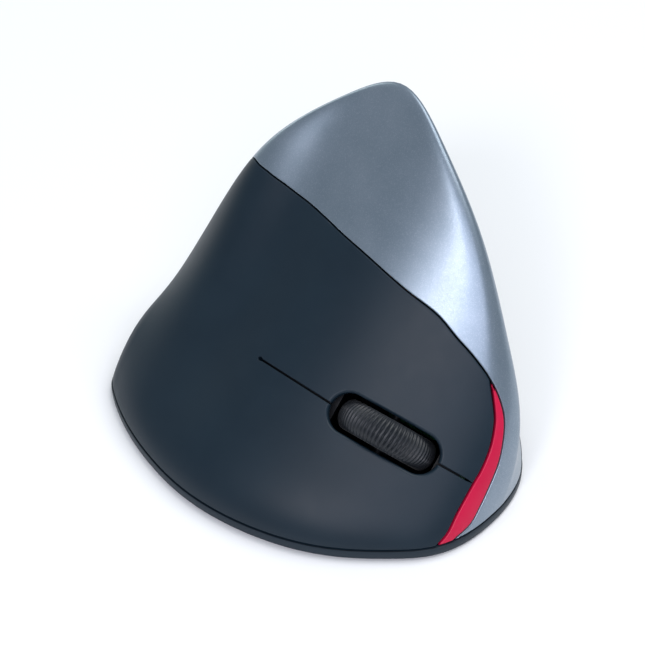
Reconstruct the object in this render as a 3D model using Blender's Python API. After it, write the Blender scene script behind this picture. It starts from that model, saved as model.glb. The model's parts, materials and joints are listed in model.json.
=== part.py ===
"""Vertical computer mouse, right-handed and wireless, built as separate solids.

The outer skin is one smooth cubic surface over ribs that run from the finger-side
foot, over the ridge, to the thumb-side foot. Every cover is a region of that skin
with its own wall. Lengths are in millimetres until a mesh is made; +Z is up, +Y is
the nose, +X is the finger side, and the origin is under the middle of the body.
"""
import math

import bpy
import numpy as np
from mathutils import Vector
from mathutils.geometry import delaunay_2d_cdt

MM = 0.001

# ---- driving dimensions (mm) -------------------------------------------------
# Ribs, tail to nose: y, finger foot x, thumb foot x, ridge x, ridge z,
# dip above and below the middle of the finger side, ridge roundness, thumb groove
RIBS = (
    (-52.0, 21.5, -14.5, -9.0, 14.5, -4.0, -11.0, 4.0, 0.0),
    (-46.5, 26.5, -25.5, -18.5, 34.0, 0.5, -5.0, 4.0, 3.0),
    (-34.5, 33.5, -33.0, -22.0, 60.0, 4.5, 2.5, 4.0, 6.0),
    (-20.5, 38.5, -36.5, -37.5, 69.5, 7.0, 6.0, 3.5, 8.0),
    (-7.0, 41.0, -38.5, -42.0, 79.0, 7.5, 5.5, 3.0, 9.0),
    (9.5, 40.0, -37.0, -33.0, 71.0, 6.0, 4.5, 3.5, 8.0),
    (26.5, 35.0, -32.5, -26.5, 56.5, 4.0, 2.5, 4.0, 5.0),
    (40.5, 25.0, -24.5, -17.0, 38.0, 0.5, -0.5, 4.0, 2.0),
    (52.0, 15.0, -14.0, -11.0, 17.0, -2.0, -3.0, 4.0, 0.0),
)
TAIL_END = (3.0, -52.0, 2.0)
NOSE_END = (-1.0, 52.0, 2.0)
CENTRE_SHIFT = 0.1          # brings the widest points level about x = 0

WALL = 1.7                  # cover thickness
GAP = 0.4                   # seam between covers
CLICK_CLEARANCE = 0.11      # more on each side where the right cover swings past the trim
SLIT = 0.7                  # slit between the two main buttons
RIM_TOP = 3.1               # top of the base's rim
SEAM_Z = 3.8                # lower edge of the covers
FLOOR_Z = 0.8               # underside of the base, above the glide feet
FLOOR = 1.6                 # base plate thickness

SLOT_LENGTH, SLOT_WIDTH = 28.4, 9.6      # opening for the scroll wheel
SLOT_AT = (0.758, 0.169)                 # its middle, on the skin
SLIT_START = -38.0                       # slit's tail end, along the slit

# Inside: the button board lies BOARD_N below the skin in the button frame, whose
# axes are d (along the slit to the nose), w (up the slope) and n (outward).
BOARD_N = -11.0
PLUNGER_TOP = -4.2
LEFT_SWITCH_AT, RIGHT_SWITCH_AT = (9.9, 11.4), (0.0, -10.5)
BOARD_PILLARS = ((-12.5, 16.5), (17.8, 3.0), (-15.2, -11.2))
WHEEL_RADIUS, WHEEL_N = 12.2, -9.0
WHEEL_SWITCH_AT, PRESS_ARM_N = (-9.6, -10.2), -8.1
SIDE_BOARD_N, KEY_PLUNGER_N = -7.2, -4.2
KEY_LENGTH, KEY_WIDTH, KEY_SPLIT, KEY_GAP, KEY_PROUD = 18.5, 8.0, 0.6, 0.4, 0.8
DPI_AT, DPI_SIDE, DPI_LENGTH, DPI_WIDTH = 25.0, 3.6, 8.0, 5.4
SIDE_BOSSES = ((-14.5, 7.0), (13.0, 7.0))
MAIN_Z = 6.6                               # underside of the main board
MAIN_POSTS = ((-10.0, 18.0), (-25.2, 24.6))
SPINE_X = -17.0
CELL_BAY = (-11.9, -44.6, 15.9, 5.0)       # x and y limits
CELL_Z = 8.7
DOOR = (-11.3, -42.6, 15.3, 3.0)
RECEIVER_BAY = (-27.2, -15.6, -20.8, -1.0)
SWITCH_WINDOW = (-18.6, 32.6, -15.0, 38.6)
SWITCH_TRAVEL = 2.6
BASE_SCREWS = ((SPINE_X, -27.0), (SPINE_X, 3.0))
FEET = ((0.0, 45.5, 26.0, 5.0, 0.0), (0.0, -47.2, 26.0, 4.6, 0.0), (-33.0, -2.0, 22.0, 4.6, 93.0),
        (35.2, 2.0, 26.0, 4.6, 91.0))

# ---- seams as points (a, b) on the skin: a tail to nose, b finger to thumb ----
RIDGE_TAIL = (0.217, 0.492)
RED_TIP = (0.878, 0.379)
FINGER_SEAM = (RIDGE_TAIL, (0.293, 0.356), (0.373, 0.306), (0.463, 0.280), (0.546, 0.274),
               (0.668, 0.288), (0.751, 0.310), (0.800, 0.324), (0.845, 0.350), RED_TIP)
THUMB_SEAM = (RIDGE_TAIL, (0.26, 0.555), (0.35, 0.58), (0.48, 0.595), (0.62, 0.605),
              (0.74, 0.635), (0.84, 0.69), (0.90, 0.79))
REAR_SEAM = (RIDGE_TAIL, (0.175, 0.59), (0.135, 0.69), (0.105, 0.79))
RED_FINGER_EDGE = (RED_TIP, (0.905, 0.361), (0.915, 0.343), (0.925, 0.296), (0.930, 0.233),
                   (0.930, 0.194), (0.931, 0.126), (0.933, 0.077))
RED_RIDGE_EDGE = (RED_TIP, (0.905, 0.405), (0.923, 0.411), (0.937, 0.384), (0.948, 0.330),
                  (0.954, 0.249), (0.959, 0.163), (0.960, 0.096))
RED_FOOT, RED_FOOT_RIDGE = (0.932, 0.04), (0.960, 0.04)
THUMB_FOOT, REAR_FOOT = (0.935, 0.93), (0.08, 0.90)

# ---- colours -----------------------------------------------------------------
LOOKS = {   # colour, roughness, metallic
    "black": ((0.020, 0.026, 0.036), 0.42, 0.0),
    "grey": ((0.20, 0.25, 0.30), 0.38, 0.75),
    "red": ((0.62, 0.012, 0.045), 0.35, 0.0),
    "rubber": ((0.018, 0.018, 0.020), 0.75, 0.0),
    "dark": ((0.010, 0.011, 0.013), 0.55, 0.0),
    "board": ((0.015, 0.11, 0.045), 0.45, 0.0),
    "steel": ((0.62, 0.63, 0.65), 0.28, 1.0),
    "gold": ((0.80, 0.58, 0.22), 0.30, 1.0),
    "clear": ((0.78, 0.84, 0.86), 0.10, 0.0),
    "white": ((0.80, 0.80, 0.78), 0.45, 0.0),
    "cell": ((0.12, 0.14, 0.16), 0.35, 0.3),
    "orange": ((0.72, 0.30, 0.08), 0.5, 0.0),
}


# ---- scene helpers -------------------------------------------------------------
def clear_scene():
    for obj in list(bpy.data.objects):
        bpy.data.objects.remove(obj, do_unlink=True)
    for mesh in list(bpy.data.meshes):
        bpy.data.meshes.remove(mesh)


def material(look):
    found = bpy.data.materials.get(look)
    if found:
        return found
    colour, roughness, metallic = LOOKS[look]
    made = bpy.data.materials.new(look)
    made.use_nodes = True
    shader = made.node_tree.nodes["Principled BSDF"]
    shader.inputs["Base Color"].default_value = (*colour, 1.0)
    shader.inputs["Roughness"].default_value = roughness
    shader.inputs["Metallic"].default_value = metallic
    return made


def solid(name, verts, faces, look, origin=(0.0, 0.0, 0.0), smooth=None):
    """One closed body from millimetre points, with its origin at a given point."""
    origin = np.asarray(origin, float)
    mesh = bpy.data.meshes.new(name)
    points = (np.asarray(verts, float) - origin) * MM
    mesh.from_pydata([tuple(p) for p in points], [], [tuple(int(i) for i in f) for f in faces])
    mesh.materials.append(material(look))
    if smooth is not None:
        mesh.shade_smooth()
        mesh.set_sharp_from_angle(angle=math.radians(smooth))
    mesh.validate()
    obj = bpy.data.objects.new(name, mesh)
    obj.location = Vector(origin) * MM
    bpy.context.collection.objects.link(obj)
    return obj


def combine(target, tool, operation):
    """Boolean of a hidden tool body into a target body."""
    tool.hide_render = True
    tool.display_type = 'WIRE'
    modifier = target.modifiers.new(tool.name, 'BOOLEAN')
    modifier.operation = operation
    modifier.solver = 'EXACT'
    modifier.object = tool


# ---- the skin --------------------------------------------------------------------
def basis(count, t):
    """Clamped uniform cubic B-spline weights of `count` control points at t."""
    t = np.clip(np.atleast_1d(np.asarray(t, float)), 0.0, 1.0 - 1e-9)
    knots = np.concatenate([[0.0] * 3, np.linspace(0.0, 1.0, count - 2), [1.0] * 3])
    weights = [((t >= knots[i]) & (t < knots[i + 1])).astype(float) for i in range(len(knots) - 1)]
    for k in range(1, 4):
        raised = []
        for i in range(len(knots) - 1 - k):
            left, right = knots[i + k] - knots[i], knots[i + k + 1] - knots[i + 1]
            rise = (t - knots[i]) / left if left > 0 else 0.0
            fall = (knots[i + k + 1] - t) / right if right > 0 else 0.0
            raised.append(rise * weights[i] + fall * weights[i + 1])
        weights = raised
    return np.array(weights).T


def rib(y, finger, thumb, ridge, high, dip_high, dip_low, edge, groove):
    """Control points of one rib, finger-side foot to thumb-side foot."""
    width = finger - ridge
    points = [(finger, 0.0), (finger + 1.0, 0.12 * high),
              (ridge + 0.74 * width, 0.34 * high - dip_low),
              (ridge + 0.38 * width, 0.68 * high - dip_high),
              (ridge + 1.6 * edge, 0.93 * high), (ridge + 0.2 * edge, 1.03 * high),
              (ridge - 0.6 * edge, 0.97 * high),
              (ridge - 0.3 * edge + 0.4 * groove, 0.74 * high),
              (thumb + groove, 0.40 * high), (thumb - 1.0, 0.14 * high), (thumb, 0.0)]
    return [(x + CENTRE_SHIFT, y, z) for x, z in points]


NET = np.array([[TAIL_END] * 11] + [rib(*row) for row in RIBS] + [[NOSE_END] * 11])


def skin(ab):
    """Points on the skin for an array of (a, b)."""
    ab = np.atleast_2d(ab)
    return np.einsum('ni,nj,ijk->nk', basis(NET.shape[0], ab[:, 0]), basis(NET.shape[1], ab[:, 1]), NET)


def slopes(ab, step=1e-4):
    ab = np.atleast_2d(ab)
    da, db = np.array([step, 0.0]), np.array([0.0, step])
    return ((skin(ab + da) - skin(ab - da)) / (2 * step), (skin(ab + db) - skin(ab - db)) / (2 * step))


def normals(ab):
    """Outward unit normals of the skin."""
    along, across = slopes(ab)
    out = np.cross(along, across)
    return out / np.linalg.norm(out, axis=1)[:, None]


# The skin unrolled flat: u is length along the ridge, v is length around the rib.
_A = np.linspace(0.0, 1.0, 201)
_U = np.concatenate([[0.0], np.cumsum(np.linalg.norm(np.diff(
    skin(np.column_stack([_A, np.full_like(_A, 0.5)])), axis=0), axis=1))])
_V = np.array([np.linalg.norm(np.diff(skin(np.column_stack([np.full(61, a), np.linspace(0, 1, 61)])),
                                      axis=0), axis=1).sum() for a in _A]) + 1e-6


def unroll(ab):
    ab = np.atleast_2d(ab)
    return np.column_stack([np.interp(ab[:, 0], _A, _U),
                            (ab[:, 1] - 0.5) * np.interp(ab[:, 0], _A, _V)])


def roll(uv):
    uv = np.atleast_2d(uv)
    a = np.interp(uv[:, 0], _U, _A)
    return np.column_stack([a, 0.5 + uv[:, 1] / np.interp(a, _A, _V)])


# ---- lines on the skin --------------------------------------------------------------
TURN = 12.0                 # length that counts as one radian of turn when spacing points


def resample(ab, spacing):
    """Points along a line on the skin, both ends kept, closer where the skin turns."""
    ab = np.asarray(ab, float)
    length = np.linalg.norm(np.diff(skin(ab), axis=0), axis=1)
    turn = np.linalg.norm(np.diff(normals(ab), axis=0), axis=1)
    run = np.concatenate([[0.0], np.cumsum(np.hypot(length, TURN * turn))])
    steps = max(1, round(run[-1] / spacing))
    at = np.linspace(0.0, run[-1], steps + 1)
    return np.column_stack([np.interp(at, run, ab[:, 0]), np.interp(at, run, ab[:, 1])])


def smooth_line(points, fine=12):
    """Curve through hand-placed (a, b) points."""
    p = np.asarray(points, float)
    p = np.vstack([2 * p[0] - p[1], p, 2 * p[-1] - p[-2]])
    out = []
    for i in range(1, len(p) - 2):
        for t in np.linspace(0.0, 1.0, fine, endpoint=False):
            out.append(0.5 * (2 * p[i] + (p[i + 1] - p[i - 1]) * t
                              + (2 * p[i - 1] - 5 * p[i] + 4 * p[i + 1] - p[i + 2]) * t ** 2
                              + (3 * p[i] - p[i - 1] - 3 * p[i + 1] + p[i + 2]) * t ** 3))
    return np.array(out + [p[-2]])


def foot(toward, height=SEAM_Z):
    """Where lines from the skin's middle through given points come down to a height."""
    ray = np.atleast_2d(np.asarray(toward, float)) - 0.5
    low, high = np.zeros(len(ray)), 0.4999 / np.abs(ray).max(axis=1)
    for _ in range(36):
        middle = 0.5 * (low + high)
        above = skin(0.5 + ray * middle[:, None])[:, 2] > height
        low, high = np.where(above, middle, low), np.where(above, high, middle)
    return 0.5 + ray * low[:, None]


def foot_line(start, end, height=SEAM_Z, count=90):
    """The skin's contour at a height, counter-clockwise between two directions."""
    first = math.atan2(start[1] - 0.5, start[0] - 0.5)
    last = math.atan2(end[1] - 0.5, end[0] - 0.5)
    if last <= first:
        last += 2 * math.pi
    turn = np.linspace(first, last, count)
    return foot(0.5 + np.column_stack([np.cos(turn), np.sin(turn)]), height)


def inset(loop, distance):
    """A closed loop on the skin moved inward by a distance, corners mitred."""
    points, out = skin(loop), normals(loop)
    ahead = np.roll(points, -1, axis=0) - points
    ahead /= np.linalg.norm(ahead, axis=1)[:, None]
    behind = np.roll(ahead, 1, axis=0)
    inward, inward_before = np.cross(out, ahead), np.cross(out, behind)
    mitre = inward + inward_before
    mitre *= (distance / np.clip(1.0 + (inward * inward_before).sum(1), 0.35, 2.0))[:, None]
    along, across = slopes(loop)
    moved = []
    for i, ab in enumerate(loop):
        moved.append(ab + np.linalg.lstsq(np.column_stack([along[i], across[i]]), mitre[i], rcond=None)[0])
    return np.array(moved)


# ---- the button frame: d along the slit to the nose, w up the slope, n outward --------
class Frame:
    def __init__(self, origin, d, w, n):
        self.origin, self.d, self.w, self.n = (np.asarray(v, float) for v in (origin, d, w, n))

    def at(self, d=0.0, w=0.0, n=0.0):
        return self.origin + d * self.d + w * self.w + n * self.n

    def points(self, local):
        local = np.asarray(local, float)
        return self.origin + local @ np.array([self.d, self.w, self.n])


WORLD = Frame((0, 0, 0), (1, 0, 0), (0, 1, 0), (0, 0, 1))


def frame_on_skin(ab, forward):
    """Frame that touches the skin at (a, b), with d as near as can be to a direction."""
    out = normals(ab)[0]
    d = np.asarray(forward, float) - out * (np.asarray(forward, float) @ out)
    d /= np.linalg.norm(d)
    frame = Frame(skin(ab)[0], d, np.cross(out, d), out)
    frame.start = ab
    return frame


CLICK = frame_on_skin(SLOT_AT, (-0.195, 0.948, -0.252))
ENCODER_FRAME = Frame(CLICK.origin, CLICK.n, CLICK.d, CLICK.w)


THUMB = frame_on_skin((0.60, 0.74), (0.40, 0.80, -0.45))


def on_skin(d, w, frame=CLICK):
    """The (a, b) of the skin point over a place in a frame that touches the skin."""
    ab = np.array(frame.start) + (d / 110.0, w / 160.0)
    for _ in range(12):
        miss = skin(ab)[0] - frame.origin
        error = np.array([miss @ frame.d - d, miss @ frame.w - w])
        along, across = slopes(ab)
        jac = np.array([[along[0] @ frame.d, across[0] @ frame.d],
                        [along[0] @ frame.w, across[0] @ frame.w]])
        ab = ab - np.linalg.solve(jac, error)
    return ab


def inside_wall(d, w, frame=CLICK):
    """Height in a frame of the middle of the wall over a place, where posts take root."""
    return float((skin(on_skin(d, w, frame))[0] - frame.origin) @ frame.n) - WALL / 2


def slot_half(side, gap):
    """Half of the wheel opening, tail to nose, above (1) or below (-1) the slit."""
    radius = SLOT_WIDTH / 2 - gap
    reach = SLOT_LENGTH / 2 - SLOT_WIDTH / 2
    bend = [math.radians(t) for t in np.linspace(176, 90, 7)]
    local = [(-reach + radius * math.cos(t), side * radius * math.sin(t)) for t in bend]
    local += [(x, side * radius) for x in np.linspace(-reach, reach, 6)[1:-1]]
    local += [(-x, w) for x, w in reversed(local[:7])]
    return np.array([on_skin(d, w) for d, w in local])


def at_d(d, b):
    """The (a, b) at a given b that lies a given distance along the slit."""
    low, high = 0.05, 0.95
    for _ in range(40):
        a = 0.5 * (low + high)
        if (skin((a, b))[0] - CLICK.origin) @ CLICK.d < d:
            low = a
        else:
            high = a
    return np.array([a, b])


def crossing(line, d):
    """The point where a line on the skin crosses a distance along the slit, and the rest of the line."""
    run = (skin(line) - CLICK.origin) @ CLICK.d - d
    i = int(np.where(run[:-1] * run[1:] <= 0)[0][0])
    t = run[i] / (run[i] - run[i + 1])
    return line[i] + t * (line[i + 1] - line[i]), i + 1


# ---- flat regions with holes ---------------------------------------------------------------
def inside(point, loop):
    """Even-odd test of a point against a closed outline."""
    x, y = point
    a, b = np.asarray(loop), np.roll(loop, -1, axis=0)
    spans = (a[:, 1] > y) != (b[:, 1] > y)
    rise = np.where(b[:, 1] == a[:, 1], 1.0, b[:, 1] - a[:, 1])
    return np.count_nonzero(spans & (x < a[:, 0] + (y - a[:, 1]) * (b[:, 0] - a[:, 0]) / rise)) % 2 == 1


def triangulate(loops, extra=()):
    """Triangles between an outline and its holes; the loops' points keep their order."""
    points, edges, start = [], [], 0
    for loop in loops:
        points += [tuple(p) for p in loop]
        edges += [(start + i, start + (i + 1) % len(loop)) for i in range(len(loop))]
        start += len(loop)
    made = delaunay_2d_cdt([Vector(p) for p in points + list(extra)], edges, [], 1, 1e-6)
    flat = np.array([tuple(v) for v in made[0]])
    assert all(made[3][i] and made[3][i][0] == i for i in range(start)), "outline points moved"
    faces = [list(f) for f in made[2]
             if inside(flat[f].mean(axis=0), loops[0])
             and not any(inside(flat[f].mean(axis=0), h) for h in loops[1:])]
    return flat, faces


# ---- covers: regions of the skin with a wall ---------------------------------------------
RIB_LINES = (0.04, 0.08, 0.12, 0.16, 0.2, 0.24, 0.28, 0.32, 0.36, 0.395, 0.425, 0.45, 0.472, 0.492,
             0.512, 0.532, 0.554, 0.58, 0.615, 0.66, 0.705, 0.75, 0.795, 0.84, 0.88, 0.92, 0.96)
STEP = 4.6                  # spacing of the covers' facets


def region(loops, spacing=STEP):
    """Triangles over a region of the skin: outer loop first, then its holes."""
    flat = [unroll(loop) for loop in loops]
    border = np.vstack(flat)
    rows = np.interp(np.arange(spacing, _U[-1], spacing), _U, _A)
    grid = unroll([(a, b) for a in rows for b in RIB_LINES])
    near = np.linalg.norm(grid[:, None, :] - border[None], axis=2).min(axis=1)
    verts, faces = triangulate(flat, [tuple(p) for p in grid[near > 0.55 * spacing]])
    return roll(verts), faces


def foot_square(ab):
    """Normals that lie level at the foot, so the covers stand square on the base."""
    out = normals(ab)
    ease = np.clip((skin(ab)[:, 2] - SEAM_Z) / 6.0, 0.0, 1.0)
    out[:, 2] *= ease * ease * (3 - 2 * ease)
    return out / np.linalg.norm(out, axis=1)[:, None]


def wall_depth(ab, wall):
    """Wall thickness, thinner where the skin turns tightly so its inner face can't fold."""
    deep = np.full(len(ab), wall)
    for way in ((0.004, 0.0), (0.0, 0.004), (0.003, 0.003), (0.003, -0.003)):
        turn = np.linalg.norm(normals(ab + way) - normals(ab - np.array(way)), axis=1)
        length = np.linalg.norm(skin(ab + way) - skin(ab - np.array(way)), axis=1)
        deep = np.minimum(deep, 0.45 * length / np.maximum(turn, 1e-6))
    return deep


def cover(name, loops, look, wall=WALL, proud=0.0, origin=(0, 0, 0), spacing=STEP):
    """A cover: the skin region, the same region one wall deeper, and its edges."""
    ab, faces = region(loops, spacing)
    used = sorted({i for f in faces for i in f})
    index = {old: new for new, old in enumerate(used)}
    ab = ab[used]
    faces = [[index[i] for i in f] for f in faces]
    out = foot_square(ab)
    outer = skin(ab) + out * proud
    inner = skin(ab) - out * wall_depth(ab, wall)[:, None]
    n = len(ab)
    sides = {(f[i], f[(i + 1) % 3]) for f in faces for i in range(3)}
    walls = [[q, p, p + n, q + n] for p, q in sorted(sides) if (q, p) not in sides]
    all_faces = faces + [[i + n for i in reversed(f)] for f in faces] + walls
    return solid(name, np.vstack([outer, inner]), all_faces, look, origin, smooth=35)


def join(*lines):
    """One loop from lines that meet end to end."""
    loop = []
    for line in lines:
        line = np.asarray(line, float)
        loop.extend(line[:-1])
    return np.array(loop)


def seams():
    """The loops that bound each cover."""
    s = {}
    ridge_finger = smooth_line(FINGER_SEAM)
    ridge_thumb = smooth_line(np.vstack([THUMB_SEAM, foot(THUMB_FOOT)]))
    rear = smooth_line(np.vstack([REAR_SEAM, foot(REAR_FOOT)]))
    red_finger = smooth_line(np.vstack([RED_FINGER_EDGE, foot(RED_FOOT)]))
    red_ridge = smooth_line(np.vstack([RED_RIDGE_EDGE, foot(RED_FOOT_RIDGE)]))
    right_foot = foot_line((0.2, 0.0), RED_FOOT)

    top, i = crossing(ridge_finger, SLIT_START)
    bottom, j = crossing(right_foot, SLIT_START)
    seam_rear, seam_front = np.vstack([ridge_finger[:i], top]), np.vstack([top, ridge_finger[i:]])
    foot_front = np.vstack([bottom, right_foot[j:]])

    spread = SLIT / 2 - GAP / 2
    pivot = {side: on_skin(SLIT_START, side * spread) for side in (1, -1)}
    flex_up = np.array([at_d(SLIT_START, b) for b in np.linspace(pivot[1][1], top[1], 9)])
    flex_down = np.array([at_d(SLIT_START, b) for b in np.linspace(pivot[-1][1], bottom[1], 9)])
    flex_up[-1], flex_down[-1] = top, bottom

    edge_run = (skin(red_finger) - CLICK.origin) @ CLICK.w
    k = int(np.where((edge_run[:-1] > 0) & (edge_run[1:] <= 0))[0][0])
    t = edge_run[k] / (edge_run[k] - edge_run[k + 1])
    slit_end = red_finger[k] + t * (red_finger[k + 1] - red_finger[k])
    end_d = float((skin(slit_end)[0] - CLICK.origin) @ CLICK.d)

    def slit(side):
        half = slot_half(side, GAP / 2)
        back = [on_skin(d, side * spread) for d in np.linspace(SLIT_START, -SLOT_LENGTH / 2 - 0.8, 7)]
        ahead = [on_skin(d, side * spread) for d in np.linspace(SLOT_LENGTH / 2 + 0.8, end_d, 4)]
        return np.vstack([back, half, ahead[:-1], [slit_end]])

    above, below = slit(1), slit(-1)
    fine = STEP * 0.6
    s["left_button"] = join(above, resample(np.vstack([red_finger[:k + 1], slit_end])[::-1], fine),
                            resample(seam_front[::-1], STEP), flex_up[::-1])
    s["right_button"] = join(flex_down, resample(foot_front, STEP),
                             resample(np.vstack([slit_end, red_finger[k + 1:]])[::-1], fine), below[::-1])
    s["palm_shell"] = join(flex_down[::-1], flex_up, resample(seam_rear[::-1], STEP),
                           resample(rear, STEP),
                           resample(foot_line(REAR_FOOT, bottom), STEP))
    s["ridge_shell"] = join(resample(ridge_finger, STEP), resample(red_ridge, fine),
                            resample(foot_line(RED_FOOT_RIDGE, THUMB_FOOT), STEP),
                            resample(ridge_thumb[::-1], STEP))
    s["thumb_shell"] = join(resample(ridge_thumb, STEP),
                            resample(foot_line(THUMB_FOOT, REAR_FOOT), STEP),
                            resample(rear[::-1], STEP))
    s["red_trim"] = join(resample(red_finger, fine),
                         resample(foot_line(RED_FOOT, RED_FOOT_RIDGE, count=12), STEP),
                         resample(red_ridge[::-1], fine))
    return s, pivot


def covers():
    loops, pivot = seams()
    looks = {"left_button": "black", "right_button": "black", "palm_shell": "black",
             "ridge_shell": "grey", "thumb_shell": "black", "red_trim": "red"}
    hinge = skin(pivot[1])[0]
    made = {}
    for name, loop in loops.items():
        origin = hinge if name.endswith("button") else (0, 0, 0)
        holes = [thumb_opening(), dpi_opening()] if name == "thumb_shell" else []
        clear = CLICK_CLEARANCE if name in ("right_button", "red_trim") else 0.0
        made[name] = cover(name, [inset(loop, GAP / 2 + clear)] + holes, looks[name], origin=origin)
    # press posts over the two main switches
    for name, (d, w) in (("left_button", LEFT_SWITCH_AT), ("right_button", RIGHT_SWITCH_AT)):
        post = box(name + "_post", "black", (d - 1.5, w - 1.5, PLUNGER_TOP + 0.3),
                   (d + 1.5, w + 1.5, inside_wall(d, w)), CLICK)
        combine(made[name], post, 'UNION')
    # two bosses inside the thumb cover carry the side board
    for i, (d, w) in enumerate(SIDE_BOSSES):
        root = inside_wall(d, w, THUMB)
        low = SIDE_BOARD_N + 0.3
        boss = turned(f"side_boss_{i}", "black", [(0, low), (2.0, low), (2.0, root), (0, root)],
                      THUMB.at(d, w), THUMB.n, 12)
        low, high = SIDE_BOARD_N, SIDE_BOARD_N + 3
        hole = turned(f"side_boss_hole_{i}", "black", [(0, low), (1.1, low), (1.1, high), (0, high)],
                      THUMB.at(d, w), THUMB.n, 10)
        combine(made["thumb_shell"], boss, 'UNION')
        combine(made["thumb_shell"], hole, 'DIFFERENCE')


# ---- thumb-side keys ---------------------------------------------------------------------
def stadium(length, width, middle=0.0, side=0.0, turn=6):
    """Round-ended outline in a plane, starting at the nose end."""
    r, reach = width / 2, length / 2 - width / 2
    angles = np.linspace(-90, 90, turn)
    arc = [(r * math.cos(math.radians(t)), r * math.sin(math.radians(t))) for t in angles]
    nose = [(middle + reach + x, side + y) for x, y in arc]
    tail = [(middle - reach - x, side - y) for x, y in arc]
    return nose + tail


def on_thumb(outline):
    """An outline in the thumb frame laid on the skin, its long sides in short steps."""
    dense = []
    for (x0, y0), (x1, y1) in zip(outline, outline[1:] + outline[:1]):
        steps = max(1, round(math.hypot(x1 - x0, y1 - y0) / 3.6))
        dense += [(x0 + (x1 - x0) * i / steps, y0 + (y1 - y0) * i / steps) for i in range(steps)]
    return np.array([on_skin(d, w, THUMB) for d, w in dense])


def thumb_opening():
    """Opening for the two side keys, wound as a hole."""
    return on_thumb(stadium(KEY_LENGTH * 2 + KEY_SPLIT + 2 * KEY_GAP, KEY_WIDTH + 2 * KEY_GAP))


def dpi_opening():
    return on_thumb(stadium(DPI_LENGTH + 2 * KEY_GAP, DPI_WIDTH + 2 * KEY_GAP, DPI_AT, DPI_SIDE))


def side_keys():
    """Back and forward keys split from one long oval, and the resolution key ahead of them."""
    whole = stadium(KEY_LENGTH * 2 + KEY_SPLIT, KEY_WIDTH)
    half = KEY_SPLIT / 2
    forward = [p for p in whole if p[0] > 0] + [(half, KEY_WIDTH / 2), (half, -KEY_WIDTH / 2)]
    back = [p for p in whole if p[0] < 0] + [(-half, -KEY_WIDTH / 2), (-half, KEY_WIDTH / 2)]
    dpi = stadium(DPI_LENGTH, DPI_WIDTH, DPI_AT, DPI_SIDE)
    for name, outline, (d, w) in (("forward_key", forward, (KEY_LENGTH / 2, 0.0)),
                                  ("back_key", back, (-KEY_LENGTH / 2, 0.0)),
                                  ("resolution_key", dpi, (DPI_AT, DPI_SIDE))):
        key = cover(name, [on_thumb(outline)], "black", proud=KEY_PROUD, origin=THUMB.at(d, w))
        post = box(name + "_post", "black", (d - 1.2, w - 1.2, KEY_PLUNGER_N + 0.3),
                   (d + 1.2, w + 1.2, inside_wall(d, w, THUMB)), THUMB)
        combine(key, post, 'UNION')
        tact(name.replace("key", "switch"), (d, w), SIDE_BOARD_N, KEY_PLUNGER_N, THUMB)


def tact(name, at, board, top, frame):
    """Small push switch: a square can with its plunger in the middle."""
    d, w = at
    can = rectangle(d - 2.6, w - 2.6, d + 2.6, w + 2.6)
    hole = rectangle(d - 1.25, w - 1.25, d + 1.25, w + 1.25)
    prism(name, "steel", can, board + 0.3, top - 0.8, [hole], frame)
    box(name + "_plunger", "dark", (d - 0.95, w - 0.95, board + 1.0), (d + 0.95, w + 0.95, top), frame)


def side_board():
    outline = [(-18, 1.0), (-12.5, -3.2), (12, -3.2), (21, 0.7), (DPI_AT + 2.6, 0.7),
               (DPI_AT + 2.6, 7.0), (16, 9.5), (-18, 9.5)]
    holes = [circle(d, w, 1.3, 10) for d, w in SIDE_BOSSES]
    prism("side_board", "board", outline, SIDE_BOARD_N - 0.8, SIDE_BOARD_N, holes, THUMB)
    for i, (d, w) in enumerate(SIDE_BOSSES):
        screw(f"side_board_screw_{i + 1}", THUMB.at(d, w, SIDE_BOARD_N - 1.1), THUMB.n, 0.8, 1.9, 3.6)


# ---- simple bodies ---------------------------------------------------------------------------
def rectangle(x0, y0, x1, y1):
    return [(x0, y0), (x1, y0), (x1, y1), (x0, y1)]


def circle(x, y, r, sides=16):
    return [(x + r * math.cos(2 * math.pi * i / sides), y + r * math.sin(2 * math.pi * i / sides))
            for i in range(sides)]


def prism(name, look, outline, low, high, holes=(), frame=WORLD, origin=(0, 0, 0)):
    """Flat plate between two heights, with an outline and holes."""
    flat, faces = triangulate([list(outline)] + [list(h) for h in holes])
    n = len(flat)
    local = [(x, y, high) for x, y in flat] + [(x, y, low) for x, y in flat]
    sides = {(f[i], f[(i + 1) % len(f)]) for f in faces for i in range(len(f))}
    walls = [[q, p, p + n, q + n] for p, q in sorted(sides) if (q, p) not in sides]
    faces = faces + [[i + n for i in reversed(f)] for f in faces] + walls
    return solid(name, frame.points(local), faces, look, origin)


def box(name, look, low, high, frame=WORLD, origin=(0, 0, 0)):
    return prism(name, look, rectangle(low[0], low[1], high[0], high[1]), low[2], high[2], (), frame, origin)


def turned(name, look, profile, base, axis, sides=20, origin=None, smooth=40):
    """Body of revolution: (radius, height) points from the axis, round, and back to it,
    or a closed ring when no point is on the axis."""
    axis = np.asarray(axis, float) / np.linalg.norm(axis)
    side = np.cross(axis, (0.0, 0.0, 1.0) if abs(axis[2]) < 0.9 else (1.0, 0.0, 0.0))
    side /= np.linalg.norm(side)
    other = np.cross(axis, side)
    verts, rows = [], []
    for r, h in profile:
        row = []
        for i in range(1 if r == 0 else sides):
            t = 2 * math.pi * i / sides
            row.append(len(verts))
            verts.append(np.asarray(base) + axis * h + r * (math.cos(t) * side + math.sin(t) * other))
        rows.append(row)
    faces = []
    ring = profile[0][0] > 0
    for k in range(len(rows) if ring else len(rows) - 1):
        low, high = rows[k], rows[(k + 1) % len(rows)]
        for i in range(sides):
            j = (i + 1) % sides
            if len(low) == 1:
                faces.append([low[0], high[j], high[i]])
            elif len(high) == 1:
                faces.append([low[i], low[j], high[0]])
            else:
                faces.append([low[i], low[j], high[j], high[i]])
    return solid(name, verts, faces, look, base if origin is None else origin, smooth)


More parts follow.
